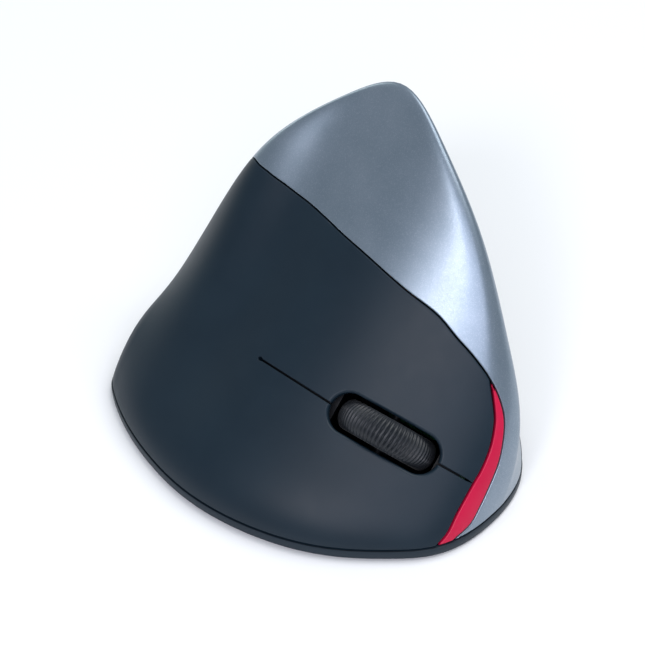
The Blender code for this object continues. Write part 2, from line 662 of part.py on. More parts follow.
def screw(name, seat, direction, head_height, head_radius, shank):
    """Pan-head screw: the shank runs from its seat along a direction, the head sits behind."""
    direction = np.asarray(direction, float)
    profile = [(0, -head_height * 0.45), (0.45, -head_height * 0.45), (0.55, -head_height),
               (head_radius * 0.7, -head_height), (head_radius, -head_height * 0.5), (head_radius, 0),
               (0.8, 0), (0.8, shank - 0.6), (0, shank)]
    return turned(name, "steel", profile, seat, direction, 12)


def ribbon(name, look, centres, width, thickness):
    """Flat cable through points, with a given width vector."""
    centres = [np.asarray(c, float) for c in centres]
    width = np.asarray(width, float) / 2
    verts = []
    for i, c in enumerate(centres):
        along = centres[min(i + 1, len(centres) - 1)] - centres[max(i - 1, 0)]
        thick = np.cross(width, along)
        thick *= thickness / 2 / np.linalg.norm(thick)
        verts += [c - width - thick, c + width - thick, c + width + thick, c - width + thick]
    faces = [[0, 1, 2, 3], [4 * len(centres) - 1 - i for i in range(4)]]
    for i in range(len(centres) - 1):
        for k in range(4):
            p, q = 4 * i + k, 4 * i + (k + 1) % 4
            faces.append([p, p + 4, q + 4, q])
    return solid(name, verts, faces, look)


def bend(points, fine=5):
    """Smooth run through route points."""
    p = np.asarray(points, float)
    p = np.vstack([2 * p[0] - p[1], p, 2 * p[-1] - p[-2]])
    out = []
    for i in range(1, len(p) - 2):
        for t in np.linspace(0, 1, fine, endpoint=False):
            out.append(0.5 * (2 * p[i] + (p[i + 1] - p[i - 1]) * t
                              + (2 * p[i - 1] - 5 * p[i] + 4 * p[i + 1] - p[i + 2]) * t ** 2
                              + (3 * p[i] - p[i - 1] - 3 * p[i + 1] + p[i + 2]) * t ** 3))
    return out + [p[-2]]


# ---- base, feet and bays ------------------------------------------------------------------------
def base_outline(shrink=0.0, height=RIM_TOP):
    """Contour of the skin at the rim, as points in the ground plane, moved inward."""
    ab = resample(foot_line((0.2, 0.0), (0.2, 0.0001), height, count=241), 5.0)[:-1]
    flat = skin(ab)[:, :2]
    ahead = np.roll(flat, -1, axis=0) - flat
    behind = flat - np.roll(flat, 1, axis=0)
    ahead /= np.linalg.norm(ahead, axis=1)[:, None]
    behind /= np.linalg.norm(behind, axis=1)[:, None]
    inward = np.column_stack([-(ahead + behind)[:, 1], (ahead + behind)[:, 0]])
    inward /= np.linalg.norm(inward, axis=1)[:, None]
    return [tuple(p) for p in flat + shrink * inward]


def base():
    top = FLOOR_Z + FLOOR
    openings = [rectangle(*DOOR), rectangle(*RECEIVER_BAY), rectangle(-20.5, 20.5, -11.5, 27.5),
                rectangle(*SWITCH_WINDOW)] + [circle(x, y, 1.3, 10) for x, y in BASE_SCREWS]
    body = prism("base", "dark", base_outline(), FLOOR_Z, RIM_TOP, openings)
    combine(body, prism("base_tray", "dark", base_outline(WALL), top, RIM_TOP + 2), 'DIFFERENCE')
    wall = 1.2
    for name, bay, height in (("cell_bay", CELL_BAY, 9.5), ("receiver_bay", RECEIVER_BAY, 21.0)):
        x0, y0, x1, y1 = bay
        ring = prism(name + "_walls", "dark", rectangle(x0 - wall, y0 - wall, x1 + wall, y1 + wall),
                     top - 0.7, height, [rectangle(x0 - 0.1, y0 - 0.1, x1 + 0.1, y1 + 0.1)])
        combine(body, ring, 'UNION')
    for i, (d, w) in enumerate(BOARD_PILLARS):
        x, y, _ = CLICK.at(d, w, BOARD_N - 1.5)
        pillar = turned(f"pillar_{i}", "dark", [(0, 0), (3.2, 0), (3.2, 30), (0, 30)],
                        (x, y, top - 0.6), (0, 0, 1), 14)
        cap = box(f"pillar_{i}_cap", "dark", (d - 40, w - 40, BOARD_N - 1.5),
                  (d + 40, w + 40, BOARD_N + 40), CLICK)
        low, high = BOARD_N - 4.2, BOARD_N + 1
        bore = turned(f"pillar_{i}_bore", "dark", [(0, low), (1.15, low), (1.15, high), (0, high)],
                      CLICK.at(d, w), CLICK.n, 10)
        combine(pillar, cap, 'DIFFERENCE')
        combine(pillar, bore, 'DIFFERENCE')
        combine(body, pillar, 'UNION')
    for i, (x, y) in enumerate(MAIN_POSTS):
        rise = MAIN_Z - 0.3 - top + 0.6
        post = turned(f"main_post_{i}", "dark", [(1.1, 0), (2.2, 0), (2.2, rise), (1.1, rise)],
                      (x, y, top - 0.6), (0, 0, 1), 12)
        combine(body, post, 'UNION')
    for i, (x, y, length, width, turn) in enumerate(FEET):
        recess = prism(f"foot_recess_{i}", "dark", placed(stadium(length + 0.6, width + 0.6), x, y, turn),
                       FLOOR_Z - 1, FLOOR_Z + 0.5)
        combine(body, recess, 'DIFFERENCE')
    for i, (x, y) in enumerate(BASE_SCREWS):
        sink = turned(f"screw_sink_{i}", "dark", [(0, -1), (2.4, -1), (2.4, 0.9), (0, 0.9)],
                      (x, y, FLOOR_Z), (0, 0, 1), 12)
        combine(body, sink, 'DIFFERENCE')
    return body


def placed(outline, x, y, turn):
    c, s = math.cos(math.radians(turn)), math.sin(math.radians(turn))
    return [(x + c * p - s * q, y + s * p + c * q) for p, q in outline]


def feet():
    for i, (x, y, length, width, turn) in enumerate(FEET):
        prism(f"glide_foot_{i + 1}", "white", placed(stadium(length, width), x, y, turn),
              0.0, FLOOR_Z + 0.2)


def battery_bay():
    x0, y0, x1, y1 = DOOR
    prism("battery_door", "dark", rectangle(x0 + 0.3, y0 + 0.3, x1 - 0.3, y1 - 0.3), FLOOR_Z, FLOOR_Z + 1.4)
    bay = CELL_BAY
    middle = 0.5 * (bay[0] + bay[2])
    z = CELL_Z
    ends = {"battery_1": (bay[1] + 3.9, 1), "battery_2": (bay[3] - 3.9, -1)}
    for k, (name, (flat_end, way)) in enumerate(ends.items()):
        x = middle + (-5.6 if k == 0 else 5.6)
        profile = [(0, 0), (3.6, 0), (3.9, 0.3), (5.1, 0.3), (5.2, 0.6), (5.2, 43.2), (5.0, 43.5),
                   (1.9, 43.5), (1.9, 44.3), (0, 44.3)]
        turned(name, "cell", profile, (x, flat_end, z), (0, way, 0), 20)
        cell_spring(f"contact_spring_{k + 1}", (x, flat_end - 0.25 * way, z), (0, -way, 0), 2.6)
    bridge = rectangle(bay[0] + 2.6, bay[1] + 0.3, bay[2] - 2.6, bay[1] + 0.7)
    prism("contact_bridge", "steel", bridge, 3.4, 13.0)
    for name, x in (("contact_plus", middle - 5.6), ("contact_minus", middle + 5.6)):
        prism(name, "steel", rectangle(x - 4.0, bay[3] - 0.7, x + 4.0, bay[3] - 0.3), 3.4, 13.0)


def cell_spring(name, start, axis, length, turns=3.0, wire=0.3, per_turn=9):
    """Conical contact spring, narrow at the cell and wide at its plate."""
    axis = np.asarray(axis, float)
    side, other = np.array([1.0, 0.0, 0.0]), np.cross(axis, (1.0, 0.0, 0.0))
    steps = int(turns * per_turn)
    verts, faces = [], []
    for i in range(steps + 1):
        t = i / steps
        angle = 2 * math.pi * turns * t
        radial = math.cos(angle) * side + math.sin(angle) * other
        centre = np.asarray(start) + axis * (wire + t * (length - 2 * wire)) + radial * (1.7 + 2.0 * t)
        for k in range(4):
            s = math.pi / 2 * k
            verts.append(centre + wire * (math.cos(s) * radial + math.sin(s) * axis))
    for i in range(steps):
        for k in range(4):
            p, q = 4 * i + k, 4 * i + (k + 1) % 4
            faces.append([p, p + 4, q + 4, q])
    faces += [[0, 1, 2, 3], [4 * steps + 3 - k for k in range(4)]]
    return solid(name, verts, faces, "steel")


def receiver():
    x0, y0, x1, y1 = RECEIVER_BAY
    box("receiver_body", "dark", (x0 + 0.3, y0 + 0.3, FLOOR_Z + 0.2), (x1 - 0.3, y1 - 0.3, 8.0))
    x, y = 0.5 * (x0 + x1), 0.5 * (y0 + y1)
    prism("receiver_plug", "steel", rectangle(x - 2.25, y - 6.0, x + 2.25, y + 6.0), 8.3, 20.2,
          [rectangle(x - 1.9, y - 5.65, x + 1.9, y + 5.65)])


# ---- electronics -----------------------------------------------------------------------------------
def button_board():
    outline = [(-17.5, -14.0), (7.2, -14.0), (9.0, -8.8), (16.8, -8.8), (20.6, -2.0), (20.6, 8.0),
               (14.0, 20.8), (-14.0, 20.8), (-17.5, 18.0)]
    holes = [rectangle(-15.3, -7.0, 15.3, 7.0)] + [circle(d, w, 1.4, 10) for d, w in BOARD_PILLARS]
    prism("button_board", "board", outline, BOARD_N - 1.2, BOARD_N, holes, CLICK)
    for i, (d, w) in enumerate(BOARD_PILLARS):
        screw(f"button_board_screw_{i + 1}", CLICK.at(d, w, BOARD_N + 0.3), -CLICK.n, 1.2, 1.9, 3.6)
    for name, at, along in (("left", LEFT_SWITCH_AT, False), ("right", RIGHT_SWITCH_AT, True)):
        d, w = at
        hd, hw = (6.4, 2.9) if along else (2.9, 6.4)
        cd, cw = (d, w) if along else (d, w + 2.6)
        prism(name + "_switch", "dark", rectangle(cd - hd, cw - hw, cd + hd, cw + hw), BOARD_N + 0.3,
              BOARD_N + 6.3, [rectangle(d - 1.2, w - 0.9, d + 1.2, w + 0.9)], CLICK)
        box(name + "_switch_plunger", "red", (d - 0.9, w - 0.6, BOARD_N + 2.4),
            (d + 0.9, w + 0.6, PLUNGER_TOP), CLICK)
    tact("wheel_switch", WHEEL_SWITCH_AT, BOARD_N, PRESS_ARM_N - 0.3, CLICK)


def wheel():
    """Scroll wheel, its sprung carrier and the encoder that reads it."""
    hub = CLICK.at(0, 0, WHEEL_N)
    up = CLICK.w
    r = WHEEL_RADIUS
    turned("wheel_tyre", "rubber", [(r - 3.0, -3.2), (r - 0.7, -3.3), (r, -2.5), (r, 2.5), (r - 0.7, 3.3),
                                    (r - 3.0, 3.2)], hub, up, 40)
    turned("wheel_hub", "dark", [(0, -6.9), (1.0, -6.9), (1.0, -4.2), (2.2, -4.2), (2.2, -2.8),
                                 (r - 3.3, -2.8), (r - 3.3, 2.8), (2.2, 2.8), (2.2, 4.2), (1.0, 4.2),
                                 (1.0, 11.0), (0, 11.0)], hub, up, 28)
    frame = prism("wheel_carrier", "white", rectangle(-14.6, -6.2, 14.6, 6.2), WHEEL_N - 0.9, WHEEL_N + 2.0,
                  [rectangle(-13.1, -4.9, 13.1, 4.9)], CLICK, origin=hub)
    for side in (-1, 1):
        cheek = box(f"carrier_cheek_{side}", "white", (-3.2, min(side * 4.85, side * 6.15), WHEEL_N - 1.75),
                    (3.2, max(side * 4.85, side * 6.15), WHEEL_N + 3.2), CLICK)
        combine(frame, cheek, 'UNION')
    arm = box("carrier_arm", "white", (-11.6, -11.6, PRESS_ARM_N), (-7.6, -5.6, PRESS_ARM_N + 1.2), CLICK)
    bore = turned("carrier_bore", "white", [(0, -9), (1.35, -9), (1.35, 9), (0, 9)], hub, up, 12)
    combine(frame, arm, 'UNION')
    combine(frame, bore, 'DIFFERENCE')
    plate = prism("wheel_encoder", "dark", rectangle(BOARD_N + 0.3, -5.5, -3.8, 5.5), 7.4, 11.4,
                  [circle(WHEEL_N, 0, 1.65, 12)], ENCODER_FRAME)
    return plate


def main_board():
    outline = [(-28, 15.5), (-7, 15.5), (-7, 38.5), (-12, 42), (-18, 41), (-26, 32)]
    holes = [rectangle(-20, 20, -13, 28)] + [circle(px, py, 1.3, 10) for px, py in MAIN_POSTS]
    z = MAIN_Z
    prism("main_board", "board", outline, z, z + 1.2, holes)
    top = z + 1.5
    box("sensor_chip", "dark", (-20.8, 19.4, top), (-12.4, 29, top + 2.4))
    lens = box("sensor_lens", "clear", (-21, 17, 2.7), (-12.6, 30.6, 4.0))
    eye = turned("sensor_lens_eye", "clear", [(0, 0), (3.0, 0), (3.0, 2.2), (2.0, 2.6), (0, 2.6)],
                 (-16.4, 24, 3.4), (0, 0, 1), 16)
    combine(lens, eye, 'UNION')
    box("controller_chip", "dark", (-25.4, 27.4, top), (-21.8, 31.4, top + 1.0))
    for i, (px, py) in enumerate(MAIN_POSTS):
        screw(f"main_board_screw_{i + 1}", (px, py, z + 1.5), (0, 0, -1), 1.2, 2.0, 4.0)
    sx0, sy0, sx1, sy1 = SWITCH_WINDOW
    mx, my = 0.5 * (sx0 + sx1), 0.5 * (sy0 + sy1)
    box("power_switch", "steel", (mx - 2.3, my - 4.5, 4.6), (mx + 2.3, my + 4.5, z - 0.3))
    box("power_slider", "white", (sx0 + 0.4, my - 1.5 - SWITCH_TRAVEL / 2, FLOOR_Z + 0.3),
        (sx1 - 0.4, my + 1.5 - SWITCH_TRAVEL / 2, 4.2))
    # flat cables from the main board to the two other boards
    to = CLICK.at(4, 17.5, BOARD_N - 2.6)
    ribbon("button_cable", "orange", bend([(-9.5, to[1], z + 1.6), (-8.4, to[1], z + 6),
                                           to + (-1.2, 0, -4), to]), (0, 7, 0), 0.5)
    end = THUMB.at(4, 8.4, SIDE_BOARD_N - 2.2)
    ribbon("side_cable", "orange", bend([(-26.2, 18.5, z + 1.6), (-25.6, 17, z + 12),
                                         end + (0.6, 0, -8), end]), (0, 4, 0), 0.5)


def spine():
    """Upright frame that the covers clip to, screwed down through the base."""
    outline = [(-31, 2.7), (7.5, 2.7), (7.5, 22), (0, 36), (-8, 43), (-22, 43), (-31, 32)]
    holes = [rectangle(y, 9, y + 5.5, top) for y, top in ((-26, 28), (-17, 36), (-8, 34), (0, 24))]
    upright = Frame((0, 0, 0), (0, 1, 0), (0, 0, 1), (1, 0, 0))
    body = prism("spine_frame", "dark", outline, SPINE_X - 1.2, SPINE_X + 1.2, holes, upright)
    for i, (x, y) in enumerate(BASE_SCREWS):
        boss = turned(f"spine_boss_{i}", "dark", [(0, 0), (2.6, 0), (2.6, 7.0), (0, 7.0)],
                      (x, y, 2.71), (0, 0, 1), 12)
        bore = turned(f"spine_bore_{i}", "dark", [(0, -1), (1.15, -1), (1.15, 5.6), (0, 5.6)],
                      (x, y, 2.7), (0, 0, 1), 10)
        combine(body, boss, 'UNION')
        combine(body, bore, 'DIFFERENCE')
    return body


def base_screws():
    for i, (x, y) in enumerate(BASE_SCREWS):
        turned(f"base_screw_{i + 1}", "steel", [(0, 0.5), (0.6, 0.3), (0.9, 0), (1.9, 0), (2.0, 0.3),
                                                (0.85, 0.65), (0.85, 6.0), (0, 6.6)],
               (x, y, FLOOR_Z), (0, 0, 1), 12)


def main():
    clear_scene()
    covers()
    side_keys()
    side_board()
    base()
    feet()
    battery_bay()
    receiver()
    button_board()
    wheel()
    main_board()
    spine()
    base_screws()


main()
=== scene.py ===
"""Vertical computer mouse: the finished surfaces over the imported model."""
import json
import math

import bpy
import numpy as np
from mathutils import Matrix, Vector
from mathutils.geometry import delaunay_2d_cdt


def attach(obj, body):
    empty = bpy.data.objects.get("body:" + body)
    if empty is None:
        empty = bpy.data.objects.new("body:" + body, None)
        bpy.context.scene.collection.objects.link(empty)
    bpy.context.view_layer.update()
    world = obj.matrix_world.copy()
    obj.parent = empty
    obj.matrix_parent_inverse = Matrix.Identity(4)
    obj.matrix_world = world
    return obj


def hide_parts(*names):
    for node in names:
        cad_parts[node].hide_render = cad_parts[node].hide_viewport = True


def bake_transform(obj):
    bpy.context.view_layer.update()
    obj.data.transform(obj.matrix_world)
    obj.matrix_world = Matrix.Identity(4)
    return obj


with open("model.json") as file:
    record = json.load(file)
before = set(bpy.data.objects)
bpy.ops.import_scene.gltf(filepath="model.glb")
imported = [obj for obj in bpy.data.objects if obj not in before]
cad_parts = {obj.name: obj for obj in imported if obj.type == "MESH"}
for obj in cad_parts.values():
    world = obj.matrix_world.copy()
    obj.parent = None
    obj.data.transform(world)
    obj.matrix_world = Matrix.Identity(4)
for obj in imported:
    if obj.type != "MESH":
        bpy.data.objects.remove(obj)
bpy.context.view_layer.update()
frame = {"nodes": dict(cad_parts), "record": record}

MM = 0.001

# ---- driving dimensions (mm), as in the model ----------------------------------
# Ribs, tail to nose: y, finger foot x, thumb foot x, ridge x, ridge z,
# dip above and below the middle of the finger side, ridge roundness, thumb groove
RIBS = (
    (-52.0, 21.5, -14.5, -9.0, 14.5, -4.0, -11.0, 4.0, 0.0),
    (-46.5, 26.5, -25.5, -18.5, 34.0, 0.5, -5.0, 4.0, 3.0),
    (-34.5, 33.5, -33.0, -22.0, 60.0, 4.5, 2.5, 4.0, 6.0),
    (-20.5, 38.5, -36.5, -37.5, 69.5, 7.0, 6.0, 3.5, 8.0),
    (-7.0, 41.0, -38.5, -42.0, 79.0, 7.5, 5.5, 3.0, 9.0),
    (9.5, 40.0, -37.0, -33.0, 71.0, 6.0, 4.5, 3.5, 8.0),
    (26.5, 35.0, -32.5, -26.5, 56.5, 4.0, 2.5, 4.0, 5.0),
    (40.5, 25.0, -24.5, -17.0, 38.0, 0.5, -0.5, 4.0, 2.0),
    (52.0, 15.0, -14.0, -11.0, 17.0, -2.0, -3.0, 4.0, 0.0),
)
TAIL_END = (3.0, -52.0, 2.0)
NOSE_END = (-1.0, 52.0, 2.0)
CENTRE_SHIFT = 0.1
WALL = 1.9
GAP = 0.34
# size of the dark plates under the slit, which are painted shade for the shadowed inside of the mouse
SHADE_PLATE_WIDTH, SHADE_PLATE_DEPTH, SHADE_PLATE_THICK = 3.0, 2.7, 0.6
TRIM_GAP = 0.25             # each side, where the click covers swing past the red trim
SLIT = 0.5
RIM_TOP, SEAM_Z, FLOOR_Z = 3.1, 3.5, 0.8
SLOT_LENGTH, SLOT_WIDTH = 28.4, 9.6
SLOT_AT = (0.758, 0.169)
SLIT_START, SLIT_RISE = -35.2, 1.1
FILLET = 0.32               # rounding of the covers' edges
LIP = 0.75                  # rounding of the wheel opening's edge
STEP = 1.9                  # facet spacing of the covers

RIDGE_TAIL = (0.217, 0.492)
RED_TIP = (0.878, 0.379)
FINGER_SEAM = (RIDGE_TAIL, (0.232, 0.445), (0.254, 0.397), (0.282, 0.363), (0.320, 0.333), (0.381, 0.303),
               (0.463, 0.280), (0.546, 0.274),
               (0.668, 0.288), (0.751, 0.310), (0.800, 0.324), (0.845, 0.350), RED_TIP)
THUMB_SEAM = (RIDGE_TAIL, (0.26, 0.555), (0.35, 0.58), (0.48, 0.595), (0.62, 0.605),
              (0.74, 0.635), (0.84, 0.69), (0.90, 0.79))
REAR_SEAM = (RIDGE_TAIL, (0.175, 0.59), (0.135, 0.69), (0.105, 0.79))
RED_FINGER_EDGE = (RED_TIP, (0.905, 0.361), (0.915, 0.343), (0.925, 0.296), (0.930, 0.233),
                   (0.930, 0.194), (0.931, 0.126), (0.933, 0.077))
RED_RIDGE_EDGE = (RED_TIP, (0.905, 0.405), (0.923, 0.411), (0.937, 0.384), (0.948, 0.330),
                  (0.954, 0.249), (0.959, 0.163), (0.960, 0.096))
RED_FOOT, RED_FOOT_RIDGE = (0.932, 0.04), (0.960, 0.04)
THUMB_FOOT, REAR_FOOT = (0.935, 0.93), (0.08, 0.90)

KEY_LENGTH, KEY_WIDTH, KEY_SPLIT, KEY_GAP, KEY_PROUD = 18.5, 8.0, 0.6, 0.35, 0.8
DPI_AT, DPI_SIDE, DPI_LENGTH, DPI_WIDTH = 25.0, 3.6, 8.0, 5.4
WHEEL_RADIUS, WHEEL_N = 12.4, -9.0
WHEEL_RIBS = 68

# ---- the skin, as in the model ----------------------------------------------------
def basis(count, t):
    """Clamped uniform cubic B-spline weights of `count` control points at t."""
    t = np.clip(np.atleast_1d(np.asarray(t, float)), 0.0, 1.0 - 1e-9)
    knots = np.concatenate([[0.0] * 3, np.linspace(0.0, 1.0, count - 2), [1.0] * 3])
    weights = [((t >= knots[i]) & (t < knots[i + 1])).astype(float) for i in range(len(knots) - 1)]
    for k in range(1, 4):
        raised = []
        for i in range(len(knots) - 1 - k):
            left, right = knots[i + k] - knots[i], knots[i + k + 1] - knots[i + 1]
            rise = (t - knots[i]) / left if left > 0 else 0.0
            fall = (knots[i + k + 1] - t) / right if right > 0 else 0.0
            raised.append(rise * weights[i] + fall * weights[i + 1])
        weights = raised
    return np.array(weights).T


def rib(y, finger, thumb, ridge, high, dip_high, dip_low, edge, groove):
    """Control points of one rib, finger-side foot to thumb-side foot."""
    width = finger - ridge
    points = [(finger, 0.0), (finger + 1.0, 0.12 * high),
              (ridge + 0.74 * width, 0.34 * high - dip_low),
              (ridge + 0.38 * width, 0.68 * high - dip_high),
              (ridge + 1.6 * edge, 0.93 * high), (ridge + 0.2 * edge, 1.03 * high),
              (ridge - 0.6 * edge, 0.97 * high),
              (ridge - 0.3 * edge + 0.4 * groove, 0.74 * high),
              (thumb + groove, 0.40 * high), (thumb - 1.0, 0.14 * high), (thumb, 0.0)]
    return [(x + CENTRE_SHIFT, y, z) for x, z in points]


NET = np.array([[TAIL_END] * 11] + [rib(*row) for row in RIBS] + [[NOSE_END] * 11])


def skin(ab):
    ab = np.atleast_2d(ab)
    return np.einsum('ni,nj,ijk->nk', basis(NET.shape[0], ab[:, 0]), basis(NET.shape[1], ab[:, 1]), NET,
                     optimize=True)


def slopes(ab, step=1e-4):
    ab = np.atleast_2d(ab)
    da, db = np.array([step, 0.0]), np.array([0.0, step])
    return ((skin(ab + da) - skin(ab - da)) / (2 * step), (skin(ab + db) - skin(ab - db)) / (2 * step))


def unit(v):
    return v / np.linalg.norm(v, axis=-1, keepdims=True)


def normals(ab):
    along, across = slopes(ab)
    return unit(np.cross(along, across))


_A = np.linspace(0.0, 1.0, 201)
_U = np.concatenate([[0.0], np.cumsum(np.linalg.norm(np.diff(
    skin(np.column_stack([_A, np.full_like(_A, 0.5)])), axis=0), axis=1))])
_V = np.array([np.linalg.norm(np.diff(skin(np.column_stack([np.full(61, a), np.linspace(0, 1, 61)])),
                                      axis=0), axis=1).sum() for a in _A]) + 1e-6


def unroll(ab):
    ab = np.atleast_2d(ab)
    return np.column_stack([np.interp(ab[:, 0], _A, _U),
                            (ab[:, 1] - 0.5) * np.interp(ab[:, 0], _A, _V)])


def roll(uv):
    uv = np.atleast_2d(uv)
    a = np.interp(uv[:, 0], _U, _A)
    return np.column_stack([a, 0.5 + uv[:, 1] / np.interp(a, _A, _V)])


# ---- lines on the skin ---------------------------------------------------------------
TURN = 9.0


def resample(ab, spacing):
    """Points along a line on the skin, both ends kept, closer where the skin turns."""
    ab = np.asarray(ab, float)
    length = np.linalg.norm(np.diff(skin(ab), axis=0), axis=1)
    turn = np.linalg.norm(np.diff(normals(ab), axis=0), axis=1)
    run = np.concatenate([[0.0], np.cumsum(np.hypot(length, TURN * turn))])
    at = np.linspace(0.0, run[-1], max(1, round(run[-1] / spacing)) + 1)
    return np.column_stack([np.interp(at, run, ab[:, 0]), np.interp(at, run, ab[:, 1])])


def smooth_line(points, fine=24):
    """Curve through a list of (a, b) points."""
    p = np.asarray(points, float)
    p = np.vstack([2 * p[0] - p[1], p, 2 * p[-1] - p[-2]])
    out = []
    for i in range(1, len(p) - 2):
        for t in np.linspace(0.0, 1.0, fine, endpoint=False):
            out.append(0.5 * (2 * p[i] + (p[i + 1] - p[i - 1]) * t
                              + (2 * p[i - 1] - 5 * p[i] + 4 * p[i + 1] - p[i + 2]) * t ** 2
                              + (3 * p[i] - p[i - 1] - 3 * p[i + 1] + p[i + 2]) * t ** 3))
    return np.array(out + [p[-2]])


def foot(toward, height=SEAM_Z):
    """Where lines from the skin's middle through given points come down to a height."""
    ray = np.atleast_2d(np.asarray(toward, float)) - 0.5
    low, high = np.zeros(len(ray)), 0.4999 / np.abs(ray).max(axis=1)
    for _ in range(36):
        middle = 0.5 * (low + high)
        above = skin(0.5 + ray * middle[:, None])[:, 2] > height
        low, high = np.where(above, middle, low), np.where(above, high, middle)
    return 0.5 + ray * low[:, None]


def foot_line(start, end, height=SEAM_Z, count=400):
    """The skin's contour at a height, counter-clockwise between two directions."""
    first = math.atan2(start[1] - 0.5, start[0] - 0.5)
    last = math.atan2(end[1] - 0.5, end[0] - 0.5)
    if last <= first:
        last += 2 * math.pi
    turn = np.linspace(first, last, count)
    return foot(0.5 + np.column_stack([np.cos(turn), np.sin(turn)]), height)


def inset(loop, distances):
    """A closed loop on the skin moved inward, each edge by its own distance."""
    points, out = skin(loop), normals(loop)
    ahead = unit(np.roll(points, -1, axis=0) - points)
    behind = np.roll(ahead, 1, axis=0)
    one, two = np.cross(out, ahead), np.cross(out, behind)
    along, across = slopes(loop)
    moved = np.array(loop, float)
    for i in range(len(loop)):
        want = np.array([distances[i], distances[i - 1]])
        if not want.any():
            continue
        lie = np.column_stack([along[i], across[i]])
        rows = np.array([one[i] @ lie, two[i] @ lie])
        if one[i] @ two[i] > 0.97:
            rows, want = rows.mean(axis=0, keepdims=True), np.array([want.mean()])
            metric = np.linalg.inv(lie.T @ lie)
            step = metric @ rows[0] * want[0] / (rows[0] @ metric @ rows[0])
        else:
            step = np.linalg.solve(rows, want)
        moved[i] += step
    return moved


# ---- frames ----------------------------------------------------------------------------
class Frame:
    """Frame on the skin: d along the slit or keys to the nose, w across, n outward."""

    def __init__(self, ab, forward):
        self.start = ab
        self.origin = skin(ab)[0]
        self.n = normals(ab)[0]
        forward = np.asarray(forward, float)
        self.d = unit(forward - self.n * (forward @ self.n))
        self.w = np.cross(self.n, self.d)

    def at(self, d=0.0, w=0.0, n=0.0):
        return self.origin + d * self.d + w * self.w + n * self.n


CLICK = Frame(SLOT_AT, (-0.195, 0.948, -0.252))
THUMB = Frame((0.60, 0.74), (0.40, 0.80, -0.45))


def on_skin(places, frame_=CLICK):
    """The (a, b) of the skin points over (d, w) places in a frame that touches the skin."""
    places = np.atleast_2d(np.asarray(places, float))
    ab = np.array(frame_.start) + places / (110.0, 160.0)
    plane = np.stack([frame_.d, frame_.w])
    for _ in range(7):
        error = (skin(ab) - frame_.origin) @ plane.T - places
        along, across = slopes(ab)
        jac = np.stack([along @ plane.T, across @ plane.T], axis=2)
        ab = ab - np.linalg.solve(jac, error[:, :, None])[:, :, 0]
    return ab


def at_d(d, b):
    """The (a, b) at given b values that lie a given distance along the slit."""
    b = np.asarray(b, float)
    low, high = np.full(b.shape, 0.05), np.full(b.shape, 0.95)
    for _ in range(40):
        a = 0.5 * (low + high)
        short = (skin(np.column_stack([a, b])) - CLICK.origin) @ CLICK.d < d
        low, high = np.where(short, a, low), np.where(short, high, a)
    return np.column_stack([a, b])


def slit_w(d):
    """The slit runs off the wheel's centre line towards its tail end."""
    return SLIT_RISE * max(0.0, (-SLOT_LENGTH / 2 - d) / (-SLOT_LENGTH / 2 - SLIT_START))


def crossing(line, d):
    run = (skin(line) - CLICK.origin) @ CLICK.d - d
    i = int(np.where(run[:-1] * run[1:] <= 0)[0][0])
    t = run[i] / (run[i] - run[i + 1])
    return line[i] + t * (line[i + 1] - line[i]), i + 1


# ---- meshes --------------------------------------------------------------------------------
def inside(point, loop):
    x, y = point
    a, b = loop, np.roll(loop, -1, axis=0)
    spans = (a[:, 1] > y) != (b[:, 1] > y)
    rise = np.where(b[:, 1] == a[:, 1], 1.0, b[:, 1] - a[:, 1])
    return np.count_nonzero(spans & (x < a[:, 0] + (y - a[:, 1]) * (b[:, 0] - a[:, 0]) / rise)) % 2 == 1


def triangulate(loops, extra=()):
    """Triangles between an outline and its holes; the loops' points keep their order."""
    loops = [np.asarray(loop, float) for loop in loops]
    points, edges, start = [], [], 0
    for loop in loops:
        points += [tuple(p) for p in loop]
        edges += [(start + i, start + (i + 1) % len(loop)) for i in range(len(loop))]
        start += len(loop)
    made = delaunay_2d_cdt([Vector(p) for p in points + list(extra)], edges, [], 1, 1e-7)
    flat = np.array([tuple(v) for v in made[0]])
    faces = []
    for f in made[2]:
        middle = flat[f].mean(axis=0)
        if inside(middle, loops[0]) and not any(inside(middle, h) for h in loops[1:]):
            faces.append(list(f))
    return flat, faces


def mesh_object(name, verts, faces, look=None, shading=None, smooth=40):
    mesh = bpy.data.meshes.new(name)
    mesh.from_pydata([tuple(p) for p in np.asarray(verts, float) * MM], [],
                     [tuple(int(i) for i in f) for f in faces])
    if look:
        mesh.materials.append(look)
    mesh.shade_smooth()
    if shading is not None:
        mesh.normals_split_custom_set_from_vertices([tuple(v) for v in shading])
    elif smooth is not None:
        mesh.set_sharp_from_angle(angle=math.radians(smooth))
    obj = bpy.data.objects.new(name, mesh)
    bpy.context.collection.objects.link(obj)
    return obj


_ROWS = {}


def grid_points(spacing):
    """Even points over the whole unrolled skin."""
    if spacing not in _ROWS:
        rows = []
        for a in np.interp(np.arange(spacing, _U[-1], spacing), _U, _A):
            line = np.column_stack([np.full(400, a), np.linspace(0.002, 0.998, 400)])
            rows.append(resample(line, spacing))
        _ROWS[spacing] = unroll(np.vstack(rows))
    return _ROWS[spacing]


def spread_over(loops, spacing):
    """Grid points inside an outline that keep clear of its edges."""
    border = np.vstack(loops)
    grid = grid_points(spacing)
    low, high = border.min(axis=0), border.max(axis=0)
    grid = grid[((grid > low) & (grid < high)).all(axis=1)]
    keep = []
    for chunk in np.array_split(grid, max(1, len(grid) // 400)):
        near = np.sqrt(((chunk[:, None, :] - border[None]) ** 2).sum(axis=2)).min(axis=1)
        keep.append(chunk[near > 0.5 * spacing])
    return [tuple(p) for p in np.vstack(keep)]


def lean(ab):
    """Outward normals that lie level at the foot, so the covers stand square on the base."""
    out = normals(ab)
    ease = np.clip((skin(ab)[:, 2] - SEAM_Z) / 6.0, 0.0, 1.0)
    out[:, 2] *= ease * ease * (3 - 2 * ease)
    return unit(out)


